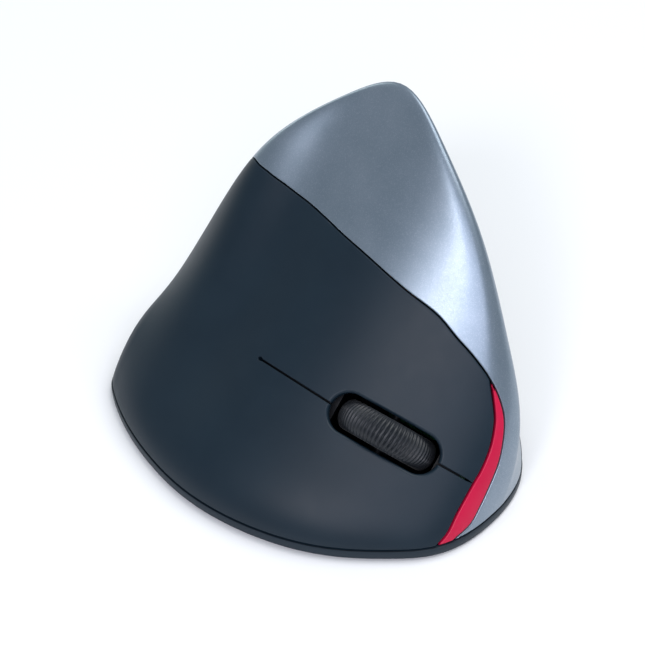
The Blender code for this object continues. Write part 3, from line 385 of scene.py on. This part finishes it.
def cover(name, outlines, look, proud=0.0, wall=WALL, spacing=STEP, arc=4):
    """A cover with rounded edges: each outline is (points, edge radii, edge gaps).

    A radius of 0 leaves that edge square, for a line where the skin runs on unbroken.
    """
    rings, verts, shading, faces = [], [], [], []

    def add(points, directions):
        start = sum(len(v) for v in verts)
        verts.append(points)
        shading.append(directions)
        return start

    for loop, radii, gaps in outlines:
        loop, radii, gaps = np.asarray(loop, float), np.asarray(radii, float), np.asarray(gaps, float)
        count = len(loop)
        reach = np.maximum(radii, np.roll(radii, 1))
        steps = []
        for k in range(arc + 1):
            t = math.pi / 2 * k / arc
            ab = inset(loop, gaps + radii * (1 - math.cos(t)))
            out = normals(ab)
            points = skin(ab) + out * (proud - reach * (1 - math.sin(t)))[:, None]
            ahead = unit(np.roll(points, -1, axis=0) - points)
            away = -unit(np.cross(out, ahead + np.roll(ahead, 1, axis=0)))
            tilt = np.where(reach > 0, t, math.pi / 2)[:, None]
            steps.append((add(points, unit(out * np.sin(tilt) + away * np.cos(tilt))), ab))
        for (low, _), (high, _) in zip(steps[:-1], steps[1:]):
            for i in range(count):
                j = (i + 1) % count
                if radii[i] > 0:
                    faces.append([low + i, low + j, high + j, high + i])
        ab0 = steps[0][1]
        out0 = lean(ab0)
        top = [steps[0 if radii[i] > 0 or radii[i - 1] > 0 else -1][0] + i for i in range(count)]
        base_points = skin(ab0) - out0 * wall
        bottom = add(base_points, unit(np.cross(unit(np.roll(skin(ab0), -1, axis=0) - skin(ab0)), out0)))
        for i in range(count):
            j = (i + 1) % count
            if radii[i] > 0:
                faces.append([top[i], bottom + i, bottom + j, top[j]])
        rings.append((steps[-1][0], steps[-1][1], bottom, ab0))
    flat = [unroll(ring[1]) for ring in rings]
    uv, inner_faces = triangulate(flat, spread_over(flat, spacing))
    border = sum(len(f) for f in flat)
    index = [ring[0] + i for ring in rings for i in range(len(ring[1]))]
    ab = roll(uv[border:])
    start = add(skin(ab) + normals(ab) * proud, normals(ab))
    index += [start + i for i in range(len(ab))]
    faces += [[index[i] for i in f] for f in inner_faces]
    obj = mesh_object(name, np.vstack(verts), faces, look, np.vstack(shading))
    drop_loose(obj)
    return obj


def drop_loose(obj):
    """Removes points that no face uses, keeping the shading."""
    mesh = obj.data
    used = np.zeros(len(mesh.vertices), bool)
    for p in mesh.polygons:
        for i in p.vertices:
            used[i] = True
    if used.all():
        return
    index = np.cumsum(used) - 1
    shading = np.zeros((len(mesh.vertices), 3))
    for loop, corner in zip(mesh.loops, mesh.corner_normals):
        shading[loop.vertex_index] = corner.vector
    verts = [tuple(v.co) for v, u in zip(mesh.vertices, used) if u]
    faces = [[int(index[i]) for i in p.vertices] for p in mesh.polygons]
    fresh = bpy.data.meshes.new(mesh.name)
    fresh.from_pydata(verts, [], faces)
    for m in mesh.materials:
        fresh.materials.append(m)
    fresh.shade_smooth()
    fresh.normals_split_custom_set_from_vertices([tuple(v) for v in shading[used]])
    obj.data = fresh


def turned(name, profile, base, axis, sides=64, look=None, smooth=35):
    """Body of revolution from (radius, height) points; closed ring if none is on the axis."""
    axis = unit(np.asarray(axis, float))
    side = unit(np.cross(axis, (0.0, 0.0, 1.0) if abs(axis[2]) < 0.9 else (1.0, 0.0, 0.0)))
    other = np.cross(axis, side)
    verts, rows, faces = [], [], []
    for r, h in profile:
        row = []
        for i in range(1 if r == 0 else sides):
            t = 2 * math.pi * i / sides
            row.append(len(verts))
            verts.append(np.asarray(base) + axis * h + r * (math.cos(t) * side + math.sin(t) * other))
        rows.append(row)
    ring = profile[0][0] > 0
    for k in range(len(rows) if ring else len(rows) - 1):
        low, high = rows[k], rows[(k + 1) % len(rows)]
        for i in range(sides):
            j = (i + 1) % sides
            if len(low) == 1:
                faces.append([low[0], high[j], high[i]])
            elif len(high) == 1:
                faces.append([low[i], low[j], high[0]])
            else:
                faces.append([low[i], low[j], high[j], high[i]])
    return mesh_object(name, verts, faces, look, smooth=smooth)


# ---- materials --------------------------------------------------------------------------------
def node_material(name):
    made = bpy.data.materials.new(name)
    made.use_nodes = True
    return made, made.node_tree.nodes, made.node_tree.links, made.node_tree.nodes["Principled BSDF"]


def noise(nodes, links, scale, detail=3.0, roughness=0.5):
    """Noise in the object's own metres."""
    place = nodes.new("ShaderNodeTexCoord")
    texture = nodes.new("ShaderNodeTexNoise")
    texture.inputs["Scale"].default_value = scale
    texture.inputs["Detail"].default_value = detail
    texture.inputs["Roughness"].default_value = roughness
    links.new(place.outputs["Object"], texture.inputs["Vector"])
    return texture


def spread(nodes, links, value, low, high):
    """Maps a 0 to 1 value on to a range."""
    remap = nodes.new("ShaderNodeMapRange")
    remap.inputs["From Min"].default_value = 0.3
    remap.inputs["From Max"].default_value = 0.7
    remap.inputs["To Min"].default_value = low
    remap.inputs["To Max"].default_value = high
    links.new(value, remap.inputs["Value"])
    return remap.outputs["Result"]


def two_tone(nodes, links, value, dark, light):
    ramp = nodes.new("ShaderNodeValToRGB")
    ramp.color_ramp.elements[0].position, ramp.color_ramp.elements[1].position = 0.32, 0.68
    ramp.color_ramp.elements[0].color = (*dark, 1.0)
    ramp.color_ramp.elements[1].color = (*light, 1.0)
    links.new(value, ramp.inputs["Fac"])
    return ramp.outputs["Color"]


def bump(nodes, links, shader, height, strength, distance):
    relief = nodes.new("ShaderNodeBump")
    relief.inputs["Strength"].default_value = strength
    relief.inputs["Distance"].default_value = distance
    links.new(height, relief.inputs["Height"])
    links.new(relief.outputs["Normal"], shader.inputs["Normal"])


def plastic(name, dark, light, rough=(0.4, 0.5), grain=5200.0, relief=0.25, depth=0.00004, coat=0.0,
            coat_rough=0.2, sheen=0.0, specular=0.5):
    """Moulded plastic: fine spark-eroded grain, slow colour and gloss variation."""
    made, nodes, links, shader = node_material(name)
    slow = noise(nodes, links, 60.0, 4.0)
    fine = noise(nodes, links, grain, 2.0)
    links.new(two_tone(nodes, links, slow.outputs["Fac"], dark, light), shader.inputs["Base Color"])
    links.new(spread(nodes, links, noise(nodes, links, 240.0, 4.0).outputs["Fac"], *rough),
              shader.inputs["Roughness"])
    bump(nodes, links, shader, fine.outputs["Fac"], relief, depth)
    shader.inputs["Coat Weight"].default_value = coat
    shader.inputs["Coat Roughness"].default_value = coat_rough
    shader.inputs["Sheen Weight"].default_value = sheen
    shader.inputs["Sheen Roughness"].default_value = 0.4
    shader.inputs["Specular IOR Level"].default_value = specular
    return made


def flake_paint(name, dark, light, flake):
    """Metallic paint: fine flakes that turn the light each their own way, under a thin clear coat."""
    made, nodes, links, shader = node_material(name)
    place = nodes.new("ShaderNodeTexCoord")
    cells = nodes.new("ShaderNodeTexVoronoi")
    cells.inputs["Scale"].default_value = 7000.0
    links.new(place.outputs["Object"], cells.inputs["Vector"])
    base = two_tone(nodes, links, noise(nodes, links, 90.0, 3.0).outputs["Fac"], dark, light)
    tint = nodes.new("ShaderNodeMix")
    tint.data_type = 'RGBA'
    tint.inputs["B"].default_value = (*flake, 1.0)
    apart = nodes.new("ShaderNodeSeparateColor")
    links.new(cells.outputs["Color"], apart.inputs["Color"])
    part = nodes.new("ShaderNodeMapRange")
    part.inputs["From Min"].default_value = 0.72
    part.inputs["To Max"].default_value = 0.3
    links.new(apart.outputs["Red"], part.inputs["Value"])
    links.new(part.outputs["Result"], tint.inputs["Factor"])
    links.new(base, tint.inputs["A"])
    links.new(tint.outputs["Result"], shader.inputs["Base Color"])
    shader.inputs["Metallic"].default_value = 0.62
    links.new(spread(nodes, links, apart.outputs["Green"], 0.33, 0.40), shader.inputs["Roughness"])
    bump(nodes, links, shader, apart.outputs["Blue"], 0.10, 0.00001)
    shader.inputs["Coat Weight"].default_value = 0.25
    shader.inputs["Coat Roughness"].default_value = 0.18
    return made


def metal(name, colour, rough=(0.2, 0.34), grain=900.0):
    made, nodes, links, shader = node_material(name)
    shader.inputs["Metallic"].default_value = 1.0
    brushed = noise(nodes, links, grain, 5.0, 0.65)
    dim = tuple(0.82 * c for c in colour)
    links.new(two_tone(nodes, links, brushed.outputs["Fac"], dim, colour), shader.inputs["Base Color"])
    links.new(spread(nodes, links, brushed.outputs["Fac"], *rough), shader.inputs["Roughness"])
    bump(nodes, links, shader, brushed.outputs["Fac"], 0.08, 0.00002)
    return made


def board_material():
    """Solder mask with the faint relief and tone of the copper tracks under it."""
    made, nodes, links, shader = node_material("solder_mask")
    place = nodes.new("ShaderNodeTexCoord")
    tracks = nodes.new("ShaderNodeTexBrick")
    tracks.inputs["Scale"].default_value = 260.0
    tracks.inputs["Mortar Size"].default_value = 0.06
    tracks.inputs["Color1"].default_value = (0.010, 0.11, 0.045, 1.0)
    tracks.inputs["Color2"].default_value = (0.016, 0.15, 0.062, 1.0)
    tracks.inputs["Mortar"].default_value = (0.03, 0.21, 0.09, 1.0)
    links.new(place.outputs["Object"], tracks.inputs["Vector"])
    links.new(tracks.outputs["Color"], shader.inputs["Base Color"])
    bump(nodes, links, shader, tracks.outputs["Fac"], 0.25, 0.00003)
    shader.inputs["Roughness"].default_value = 0.38
    return made


def clear_material():
    made, nodes, links, shader = node_material("clear_lens")
    haze = noise(nodes, links, 1500.0, 2.0)
    links.new(spread(nodes, links, haze.outputs["Fac"], 0.04, 0.12), shader.inputs["Roughness"])
    shader.inputs["Base Color"].default_value = (0.86, 0.92, 0.95, 1.0)
    shader.inputs["Transmission Weight"].default_value = 0.9
    shader.inputs["IOR"].default_value = 1.49
    return made


BLACK = plastic("black_satin", (0.006, 0.016, 0.027), (0.0075, 0.019, 0.031), rough=(0.44, 0.47),
                specular=0.3)
BLACK_KEY = plastic("black_key", (0.005, 0.013, 0.021), (0.007, 0.016, 0.025), rough=(0.28, 0.36),
                    specular=0.4)
RED = plastic("red_satin", (0.52, 0.006, 0.048), (0.60, 0.009, 0.058), rough=(0.32, 0.40),
              relief=0.12, specular=0.3)
RIDGE = flake_paint("ridge_paint", (0.20, 0.255, 0.31), (0.235, 0.29, 0.35), (0.44, 0.48, 0.58))
DARK = plastic("dark_moulding", (0.004, 0.006, 0.009), (0.006, 0.008, 0.012), rough=(0.5, 0.62), relief=0.4,
               specular=0.25)
# Near-black inner moulding: the wheel hub's own dark plastic, and painted shade on the wheel carrier and
# encoder that keeps the slot's inside dark
INNER_DARK_AND_SHADE = plastic("inner_dark_and_painted_shade", (0.005, 0.006, 0.008), (0.008, 0.009, 0.011), rough=(0.45, 0.55),
                  specular=0.2)
RUBBER = plastic("tyre_rubber", (0.006, 0.009, 0.013), (0.010, 0.013, 0.018), rough=(0.40, 0.50),
                 grain=3600.0, relief=0.3, sheen=0.08)
GLIDE = plastic("glide_foot", (0.60, 0.60, 0.58), (0.70, 0.70, 0.68), rough=(0.35, 0.5), relief=0.15)
WHITE = plastic("white_moulding", (0.72, 0.72, 0.70), (0.80, 0.80, 0.78))
STEEL = metal("steel", (0.66, 0.67, 0.69))
CELL = plastic("cell_sleeve", (0.020, 0.024, 0.028), (0.030, 0.034, 0.040), rough=(0.22, 0.3), coat=0.5)
ORANGE = plastic("flat_cable", (0.62, 0.26, 0.06), (0.72, 0.32, 0.09), rough=(0.35, 0.5), relief=0.1)
BOARD = board_material()
CLEAR = clear_material()


# ---- covers -----------------------------------------------------------------------------------
def lines():
    """The seams, each from its first point to its last."""
    g = {"ridge_finger": smooth_line(FINGER_SEAM),
         "ridge_thumb": smooth_line(np.vstack([THUMB_SEAM, foot(THUMB_FOOT)])),
         "rear": smooth_line(np.vstack([REAR_SEAM, foot(REAR_FOOT)])),
         "red_finger": smooth_line(np.vstack([RED_FINGER_EDGE, foot(RED_FOOT)])),
         "red_ridge": smooth_line(np.vstack([RED_RIDGE_EDGE, foot(RED_FOOT_RIDGE)])),
         "right_foot": foot_line((0.2, 0.0), RED_FOOT)}
    return g


def outline(*parts):
    """One loop with a radius and a gap for each edge, from (line, radius, gap) parts."""
    loop, radii, gaps = [], [], []
    for line, radius, gap in parts:
        line = np.asarray(line, float)
        loop.extend(line[:-1])
        radii += [radius] * (len(line) - 1)
        gaps += [gap] * (len(line) - 1)
    return np.array(loop), radii, gaps


def slot_half(side):
    """Half of the wheel opening, tail to nose, above (1) or below (-1) the slit."""
    radius, reach = SLOT_WIDTH / 2, SLOT_LENGTH / 2 - SLOT_WIDTH / 2
    start = math.degrees(math.asin(SLIT / 2 / radius))
    bend = [math.radians(t) for t in np.linspace(180 - start, 90, 15)]
    local = [(-reach + radius * math.cos(t), side * radius * math.sin(t)) for t in bend]
    local += [(x, side * radius) for x in np.linspace(-reach, reach, 14)[1:-1]]
    local += [(-x, w) for x, w in reversed(local[:15])]
    return on_skin(local)


def covers():
    g = lines()
    edge, gap = FILLET, GAP / 2
    top, i = crossing(g["ridge_finger"], SLIT_START)
    bottom, j = crossing(g["right_foot"], SLIT_START)
    seam_rear = resample(np.vstack([g["ridge_finger"][:i], top]), STEP)
    seam_front = resample(np.vstack([top, g["ridge_finger"][i:]]), STEP)
    foot_front = resample(np.vstack([bottom, g["right_foot"][j:]]), STEP)
    half = SLIT / 2
    pivot = on_skin((SLIT_START, SLIT_RISE))[0]
    flex_up = at_d(SLIT_START, np.linspace(pivot[1], top[1], 24))
    flex_down = at_d(SLIT_START, np.linspace(pivot[1], bottom[1], 24))
    flex_up[0], flex_down[0], flex_up[-1], flex_down[-1] = pivot, pivot, top, bottom

    red = g["red_finger"]
    run = (skin(red) - CLICK.origin) @ CLICK.w
    k = int(np.where((run[:-1] > 0) & (run[1:] <= 0))[0][0])
    t = run[k] / (run[k] - run[k + 1])
    slit_end = red[k] + t * (red[k + 1] - red[k])
    end_d = float((skin(slit_end)[0] - CLICK.origin) @ CLICK.d)
    red_up = resample(np.vstack([red[:k + 1], slit_end]), STEP * 0.6)
    red_down = resample(np.vstack([slit_end, red[k + 1:]]), STEP * 0.6)

    def slit(side):
        slot = slot_half(side)
        round_end = on_skin([(SLIT_START + 0.5 - 0.5 * math.cos(a), SLIT_RISE + side * 0.5 * math.sin(a))
                             for a in np.linspace(0, math.pi * 0.62, 7)])
        back = on_skin([(d, slit_w(d) + side * half)
                        for d in np.linspace(SLIT_START + 1.2, -SLOT_LENGTH / 2 - 0.5, 12)])
        ahead = on_skin([(d, side * half) for d in np.linspace(SLOT_LENGTH / 2 + 0.5, end_d, 6)])
        behind = np.vstack([round_end, back, slot[:1]])
        front = np.vstack([slot[-1:], ahead[:-1], [slit_end]])
        return behind, slot, front

    up_behind, up_slot, up_front = slit(1)
    low_behind, low_slot, low_front = slit(-1)
    made = {}
    made["left_button_skin"] = cover("left_button_skin", [outline(
        (up_behind, 0.2, 0.0), (up_slot, LIP, 0.0), (up_front, 0.2, 0.0), (red_up[::-1], edge, TRIM_GAP),
        (seam_front[::-1], edge, gap), (flex_up[::-1], 0.0, 0.0))], BLACK)
    made["right_button_skin"] = cover("right_button_skin", [outline(
        (flex_down, 0.0, 0.0), (foot_front, edge, 0.0), (red_down[::-1], edge, TRIM_GAP),
        (low_front[::-1], 0.2, 0.0), (low_slot[::-1], LIP, 0.0), (low_behind[::-1], 0.2, 0.0))], BLACK)
    made["palm_skin"] = cover("palm_skin", [outline(
        (flex_down[::-1], 0.0, 0.0), (flex_up, 0.0, 0.0), (seam_rear[::-1], edge, gap),
        (resample(g["rear"], STEP), edge, gap),
        (resample(foot_line(REAR_FOOT, bottom), STEP), edge, 0.0))], BLACK)
    made["ridge_skin"] = cover("ridge_skin", [outline(
        (np.vstack([seam_rear[:-1], seam_front]), edge, gap),
        (resample(g["red_ridge"], STEP * 0.6), edge, gap),
        (resample(foot_line(RED_FOOT_RIDGE, THUMB_FOOT), STEP), edge, 0.0),
        (resample(g["ridge_thumb"][::-1], STEP), edge, gap))], RIDGE)
    holes = [hole_outline(key_whole(KEY_GAP)), hole_outline(dpi_whole(KEY_GAP))]
    made["thumb_skin"] = cover("thumb_skin", [outline(
        (resample(g["ridge_thumb"], STEP), edge, gap),
        (resample(foot_line(THUMB_FOOT, REAR_FOOT), STEP), edge, 0.0),
        (resample(g["rear"][::-1], STEP), edge, gap))] + holes, BLACK)
    made["red_trim_skin"] = cover("red_trim_skin", [outline(
        (np.vstack([red_up[:-1], red_down]), edge, TRIM_GAP),
        (resample(foot_line(RED_FOOT, RED_FOOT_RIDGE), STEP), edge, 0.0),
        (resample(g["red_ridge"][::-1], STEP * 0.6), edge, gap))], RED, spacing=1.2)
    for name, nodes, slot in (("left_button_skin", "left_button", "black"),
                              ("right_button_skin", "right_button", "black"),
                              ("palm_skin", "palm_shell", "black"), ("ridge_skin", "ridge_shell", "grey"),
                              ("thumb_skin", "thumb_shell", "black"), ("red_trim_skin", "red_trim", "red")):
        piece = made[name]
        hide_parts(nodes)
        if nodes.endswith("button"):
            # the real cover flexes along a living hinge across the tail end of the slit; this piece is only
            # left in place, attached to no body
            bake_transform(piece)
        else:
            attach(piece, "body")


# ---- thumb keys ------------------------------------------------------------------------------------
def stadium(length, width, middle=0.0, side=0.0, turn=14):
    r, reach = width / 2, length / 2 - width / 2
    angles = [math.radians(t) for t in np.linspace(-90, 90, turn)]
    nose = [(middle + reach + r * math.cos(t), side + r * math.sin(t)) for t in angles]
    tail = [(middle - reach - r * math.cos(t), side - r * math.sin(t)) for t in angles]
    return nose + tail


def on_thumb(shape, step=1.6):
    dense = []
    for (x0, y0), (x1, y1) in zip(shape, shape[1:] + shape[:1]):
        steps = max(1, round(math.hypot(x1 - x0, y1 - y0) / step))
        dense += [(x0 + (x1 - x0) * i / steps, y0 + (y1 - y0) * i / steps) for i in range(steps)]
    return on_skin(dense, THUMB)


def key_whole(gap):
    return stadium(KEY_LENGTH * 2 + KEY_SPLIT + 2 * gap, KEY_WIDTH + 2 * gap)


def dpi_whole(gap):
    return stadium(DPI_LENGTH + 2 * gap, DPI_WIDTH + 2 * gap, DPI_AT, DPI_SIDE)


def hole_outline(shape):
    loop = on_thumb(shape)[::-1]
    return loop, [0.25] * len(loop), [0.0] * len(loop)


def keys():
    half = KEY_SPLIT / 2
    whole = key_whole(0.0)
    shapes = {"forward_key": [p for p in whole if p[0] > 0] + [(half, KEY_WIDTH / 2), (half, -KEY_WIDTH / 2)],
              "back_key": [p for p in whole if p[0] < 0] + [(-half, -KEY_WIDTH / 2), (-half, KEY_WIDTH / 2)],
              "resolution_key": dpi_whole(0.0)}
    for name, shape in shapes.items():
        loop = on_thumb(shape)
        piece = cover(name + "_cap", [(loop, [0.55] * len(loop), [0.0] * len(loop))], BLACK_KEY,
                      proud=KEY_PROUD, spacing=1.1, arc=6)
        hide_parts(name)
        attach(piece, name)


# ---- scroll wheel -------------------------------------------------------------------------------------
def wheel():
    """Ribbed rubber tyre on a hub with a raised rim."""
    hub = CLICK.at(0, 0, WHEEL_N)
    axis, side, other = CLICK.w, CLICK.d, CLICK.n
    r, samples = WHEEL_RADIUS, WHEEL_RIBS * 8
    crown = [(0.0, 0.0), (0.8, 0.06), (1.5, 0.22), (2.2, 0.50), (2.8, 0.88), (3.3, 1.38),
             (3.65, 2.0), (3.75, 2.6), (3.5, 2.9)]
    profile = [(r - drop, -h) for h, drop in reversed(crown)] + [(r - drop, h) for h, drop in crown[1:]]
    cuts = [0.0, 0.0, 0.3, 0.8, 1.0, 1.0, 1.0, 1.0]
    depth = cuts + [1.0] + cuts[::-1]
    verts, faces = [], []
    for (radius, h), cut in zip(profile, depth):
        for i in range(samples):
            t = 2 * math.pi * i / samples
            wave = math.cos(WHEEL_RIBS * (t + 0.006 * h))
            groove = 0.42 * cut * max(0.0, -wave) ** 0.7
            radial = math.cos(t) * side + math.sin(t) * other
            verts.append(hub + axis * h + radial * (radius - groove))
    rows = len(profile)
    for k in range(rows):
        for i in range(samples):
            j = (i + 1) % samples
            a, b = k * samples, ((k + 1) % rows) * samples
            faces.append([a + j, a + i, b + i, b + j])
    tyre = mesh_object("ribbed_tyre", verts, faces, RUBBER, smooth=50)
    rim = r - 2.85
    section = [(0, -6.9), (0.85, -6.9), (1.0, -6.75), (1.0, -4.2), (2.0, -4.2), (2.2, -4.0), (2.2, -2.3),
               (rim - 1.3, -1.9), (rim - 1.1, -2.9), (rim - 0.9, -3.05), (rim, -3.05), (rim, 3.05),
               (rim - 0.9, 3.05), (rim - 1.1, 2.9), (rim - 1.3, 1.9), (2.2, 2.3), (2.2, 4.0),
               (2.0, 4.2), (1.0, 4.2), (1.0, 10.85), (0.85, 11.0), (0, 11.0)]
    core = turned("wheel_core", section, hub, axis, 72, INNER_DARK_AND_SHADE)
    for piece, node, slot in ((tyre, "wheel_tyre", "rubber"), (core, "wheel_hub", "dark")):
        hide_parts(node)
        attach(piece, "scroll_wheel")


# ---- carried-over pieces ----------------------------------------------------------------------------------
def strip(name, look, places, width, top, thick):
    """Narrow plate under the covers, along a line of (d, w) places."""
    verts, faces = [], []
    for d, w in places:
        ab = on_skin((d, w))
        at, out = skin(ab)[0], normals(ab)[0]
        for side, low in ((-1, 0), (1, 0), (1, 1), (-1, 1)):
            verts.append(at + side * 0.5 * width * CLICK.w - out * (top + low * thick))
    for i in range(len(places) - 1):
        for k in range(4):
            a, b = 4 * i + k, 4 * i + (k + 1) % 4
            faces.append([a, b, b + 4, a + 4])
    last = 4 * (len(places) - 1)
    faces += [[3, 2, 1, 0], [last, last + 1, last + 2, last + 3]]
    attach(mesh_object(name, verts, faces, look), "body")


def slit_shade_plates():
    """Dark plates that close the view through the slit: painted shade standing in for the shadowed inside."""
    behind = [(d, slit_w(d)) for d in np.linspace(SLIT_START - 1.5, -SLOT_LENGTH / 2 - 0.6, 14)]
    ahead = [(d, 0.0) for d in np.linspace(SLOT_LENGTH / 2 + 0.6, 20.5, 6)]
    for name, places in (("slit_painted_shade", behind), ("slit_painted_shade_front", ahead)):
        strip(name, DARK, places, SHADE_PLATE_WIDTH, SHADE_PLATE_DEPTH, SHADE_PLATE_THICK)


def skirt():
    """Smooth band round the rim of the base."""
    rings = ((0.0, FLOOR_Z + 0.02), (0.10, FLOOR_Z + 0.02), (0.16, FLOOR_Z + 0.3), (0.16, RIM_TOP - 0.35),
             (0.06, RIM_TOP - 0.06), (-0.3, RIM_TOP + 0.02), (-0.6, RIM_TOP + 0.02))
    ab = resample(foot_line((0.2, 0.0), (0.2, 0.0001), RIM_TOP, 600), 1.0)[:-1]
    flat = skin(ab)[:, :2]
    ahead = unit(np.roll(flat, -1, axis=0) - np.roll(flat, 1, axis=0))
    outward = np.column_stack([ahead[:, 1], -ahead[:, 0]])
    verts, faces, count = [], [], len(ab)
    for out, z in rings:
        verts += [(x, y, z) for x, y in flat + out * outward]
    for k in range(len(rings) - 1):
        for i in range(count):
            j = (i + 1) % count
            faces.append([k * count + i, k * count + j, (k + 1) * count + j, (k + 1) * count + i])
    piece = mesh_object("base_skirt", verts, faces, BLACK, smooth=50)
    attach(piece, "body")


def dress_frame():
    """Finished materials on the model's own pieces."""
    looks = {"board": BOARD, "steel": STEEL, "cell": CELL, "orange": ORANGE, "clear": CLEAR, "dark": DARK,
             "white": WHITE, "black": BLACK, "red": RED, "rubber": RUBBER, "grey": RIDGE}
    slots = {s["node"]: s["material_slot"] for s in frame["record"]["subparts"]}
    # the wheel carrier and encoder take the near-black inner moulding as painted shade for the inside of the
    # wheel slot
    own = {"wheel_carrier": INNER_DARK_AND_SHADE, "wheel_encoder": INNER_DARK_AND_SHADE, "glide_foot_1": GLIDE, "glide_foot_2": GLIDE,
           "glide_foot_3": GLIDE, "glide_foot_4": GLIDE}
    for name, obj in frame["nodes"].items():
        look = own.get(name) or looks[slots[name]]
        obj.data.materials.clear()
        obj.data.materials.append(look)


# ---- studio ------------------------------------------------------------------------------
def area_light(name, place, target, size, power, colour=(1.0, 1.0, 1.0)):
    light = bpy.data.lights.new(name, 'AREA')
    light.shape = 'RECTANGLE'
    light.size, light.size_y = size
    light.energy = power
    light.color = colour
    obj = bpy.data.objects.new(name, light)
    obj.location = place
    obj.rotation_euler = (Vector(target) - Vector(place)).to_track_quat('-Z', 'Y').to_euler()
    bpy.context.collection.objects.link(obj)


def studio():
    floor = bpy.data.meshes.new("floor")
    reach = 4.0
    corners = [(-reach, -reach, 0), (reach, -reach, 0), (reach, reach, 0), (-reach, reach, 0)]
    floor.from_pydata(corners, [], [(0, 1, 2, 3)])
    made, _, _, shader = node_material("floor")
    shader.inputs["Base Color"].default_value = (0.93, 0.935, 0.94, 1.0)
    shader.inputs["Roughness"].default_value = 0.7
    floor.materials.append(made)
    obj = bpy.data.objects.new("floor", floor)
    bpy.context.collection.objects.link(obj)
    world = bpy.data.worlds.new("studio")
    world.use_nodes = True
    world.node_tree.nodes["Background"].inputs["Color"].default_value = (0.78, 0.90, 1.0, 1.0)
    world.node_tree.nodes["Background"].inputs["Strength"].default_value = 0.30
    bpy.context.scene.world = world
    bpy.context.scene.view_settings.view_transform = 'Standard'
    area_light("key", (0.70, 0.16, 0.66), (0, 0, 0.03), (0.16, 0.22), 2.2, (0.98, 0.95, 1.0))
    area_light("front", (0.55, 0.48, 0.62), (0, 0, 0.03), (0.55, 0.45), 2.8, (0.86, 0.86, 1.0))
    area_light("top", (-0.45, 0.25, 1.15), (0, 0, 0.03), (1.0, 1.0), 11.0, (1.0, 1.0, 1.0))
    area_light("side", (-0.25, -0.95, 0.40), (0, 0, 0.03), (0.5, 0.5), 2.0, (0.95, 1.0, 0.92))


def camera():
    azimuth, rise, roll_, distance = math.radians(39.04), math.radians(42.97), math.radians(0.58), 0.420
    target = Vector((-0.0004, -0.0017, 0.030))
    toward = Vector((math.cos(rise) * math.cos(azimuth), math.cos(rise) * math.sin(azimuth), math.sin(rise)))
    data = bpy.data.cameras.new("camera")
    data.lens, data.sensor_width = 99.1, 36.0
    data.shift_x, data.shift_y = 0.0092, 0.0110
    obj = bpy.data.objects.new("camera", data)
    look = toward.to_track_quat('Z', 'Y').to_matrix().to_4x4()
    obj.matrix_world = Matrix.Translation(target + toward * distance) @ look @ Matrix.Rotation(-roll_, 4, 'Z')
    bpy.context.collection.objects.link(obj)
    bpy.context.scene.camera = obj


dress_frame()
covers()
keys()
wheel()
slit_shade_plates()
skirt()
studio()
camera()
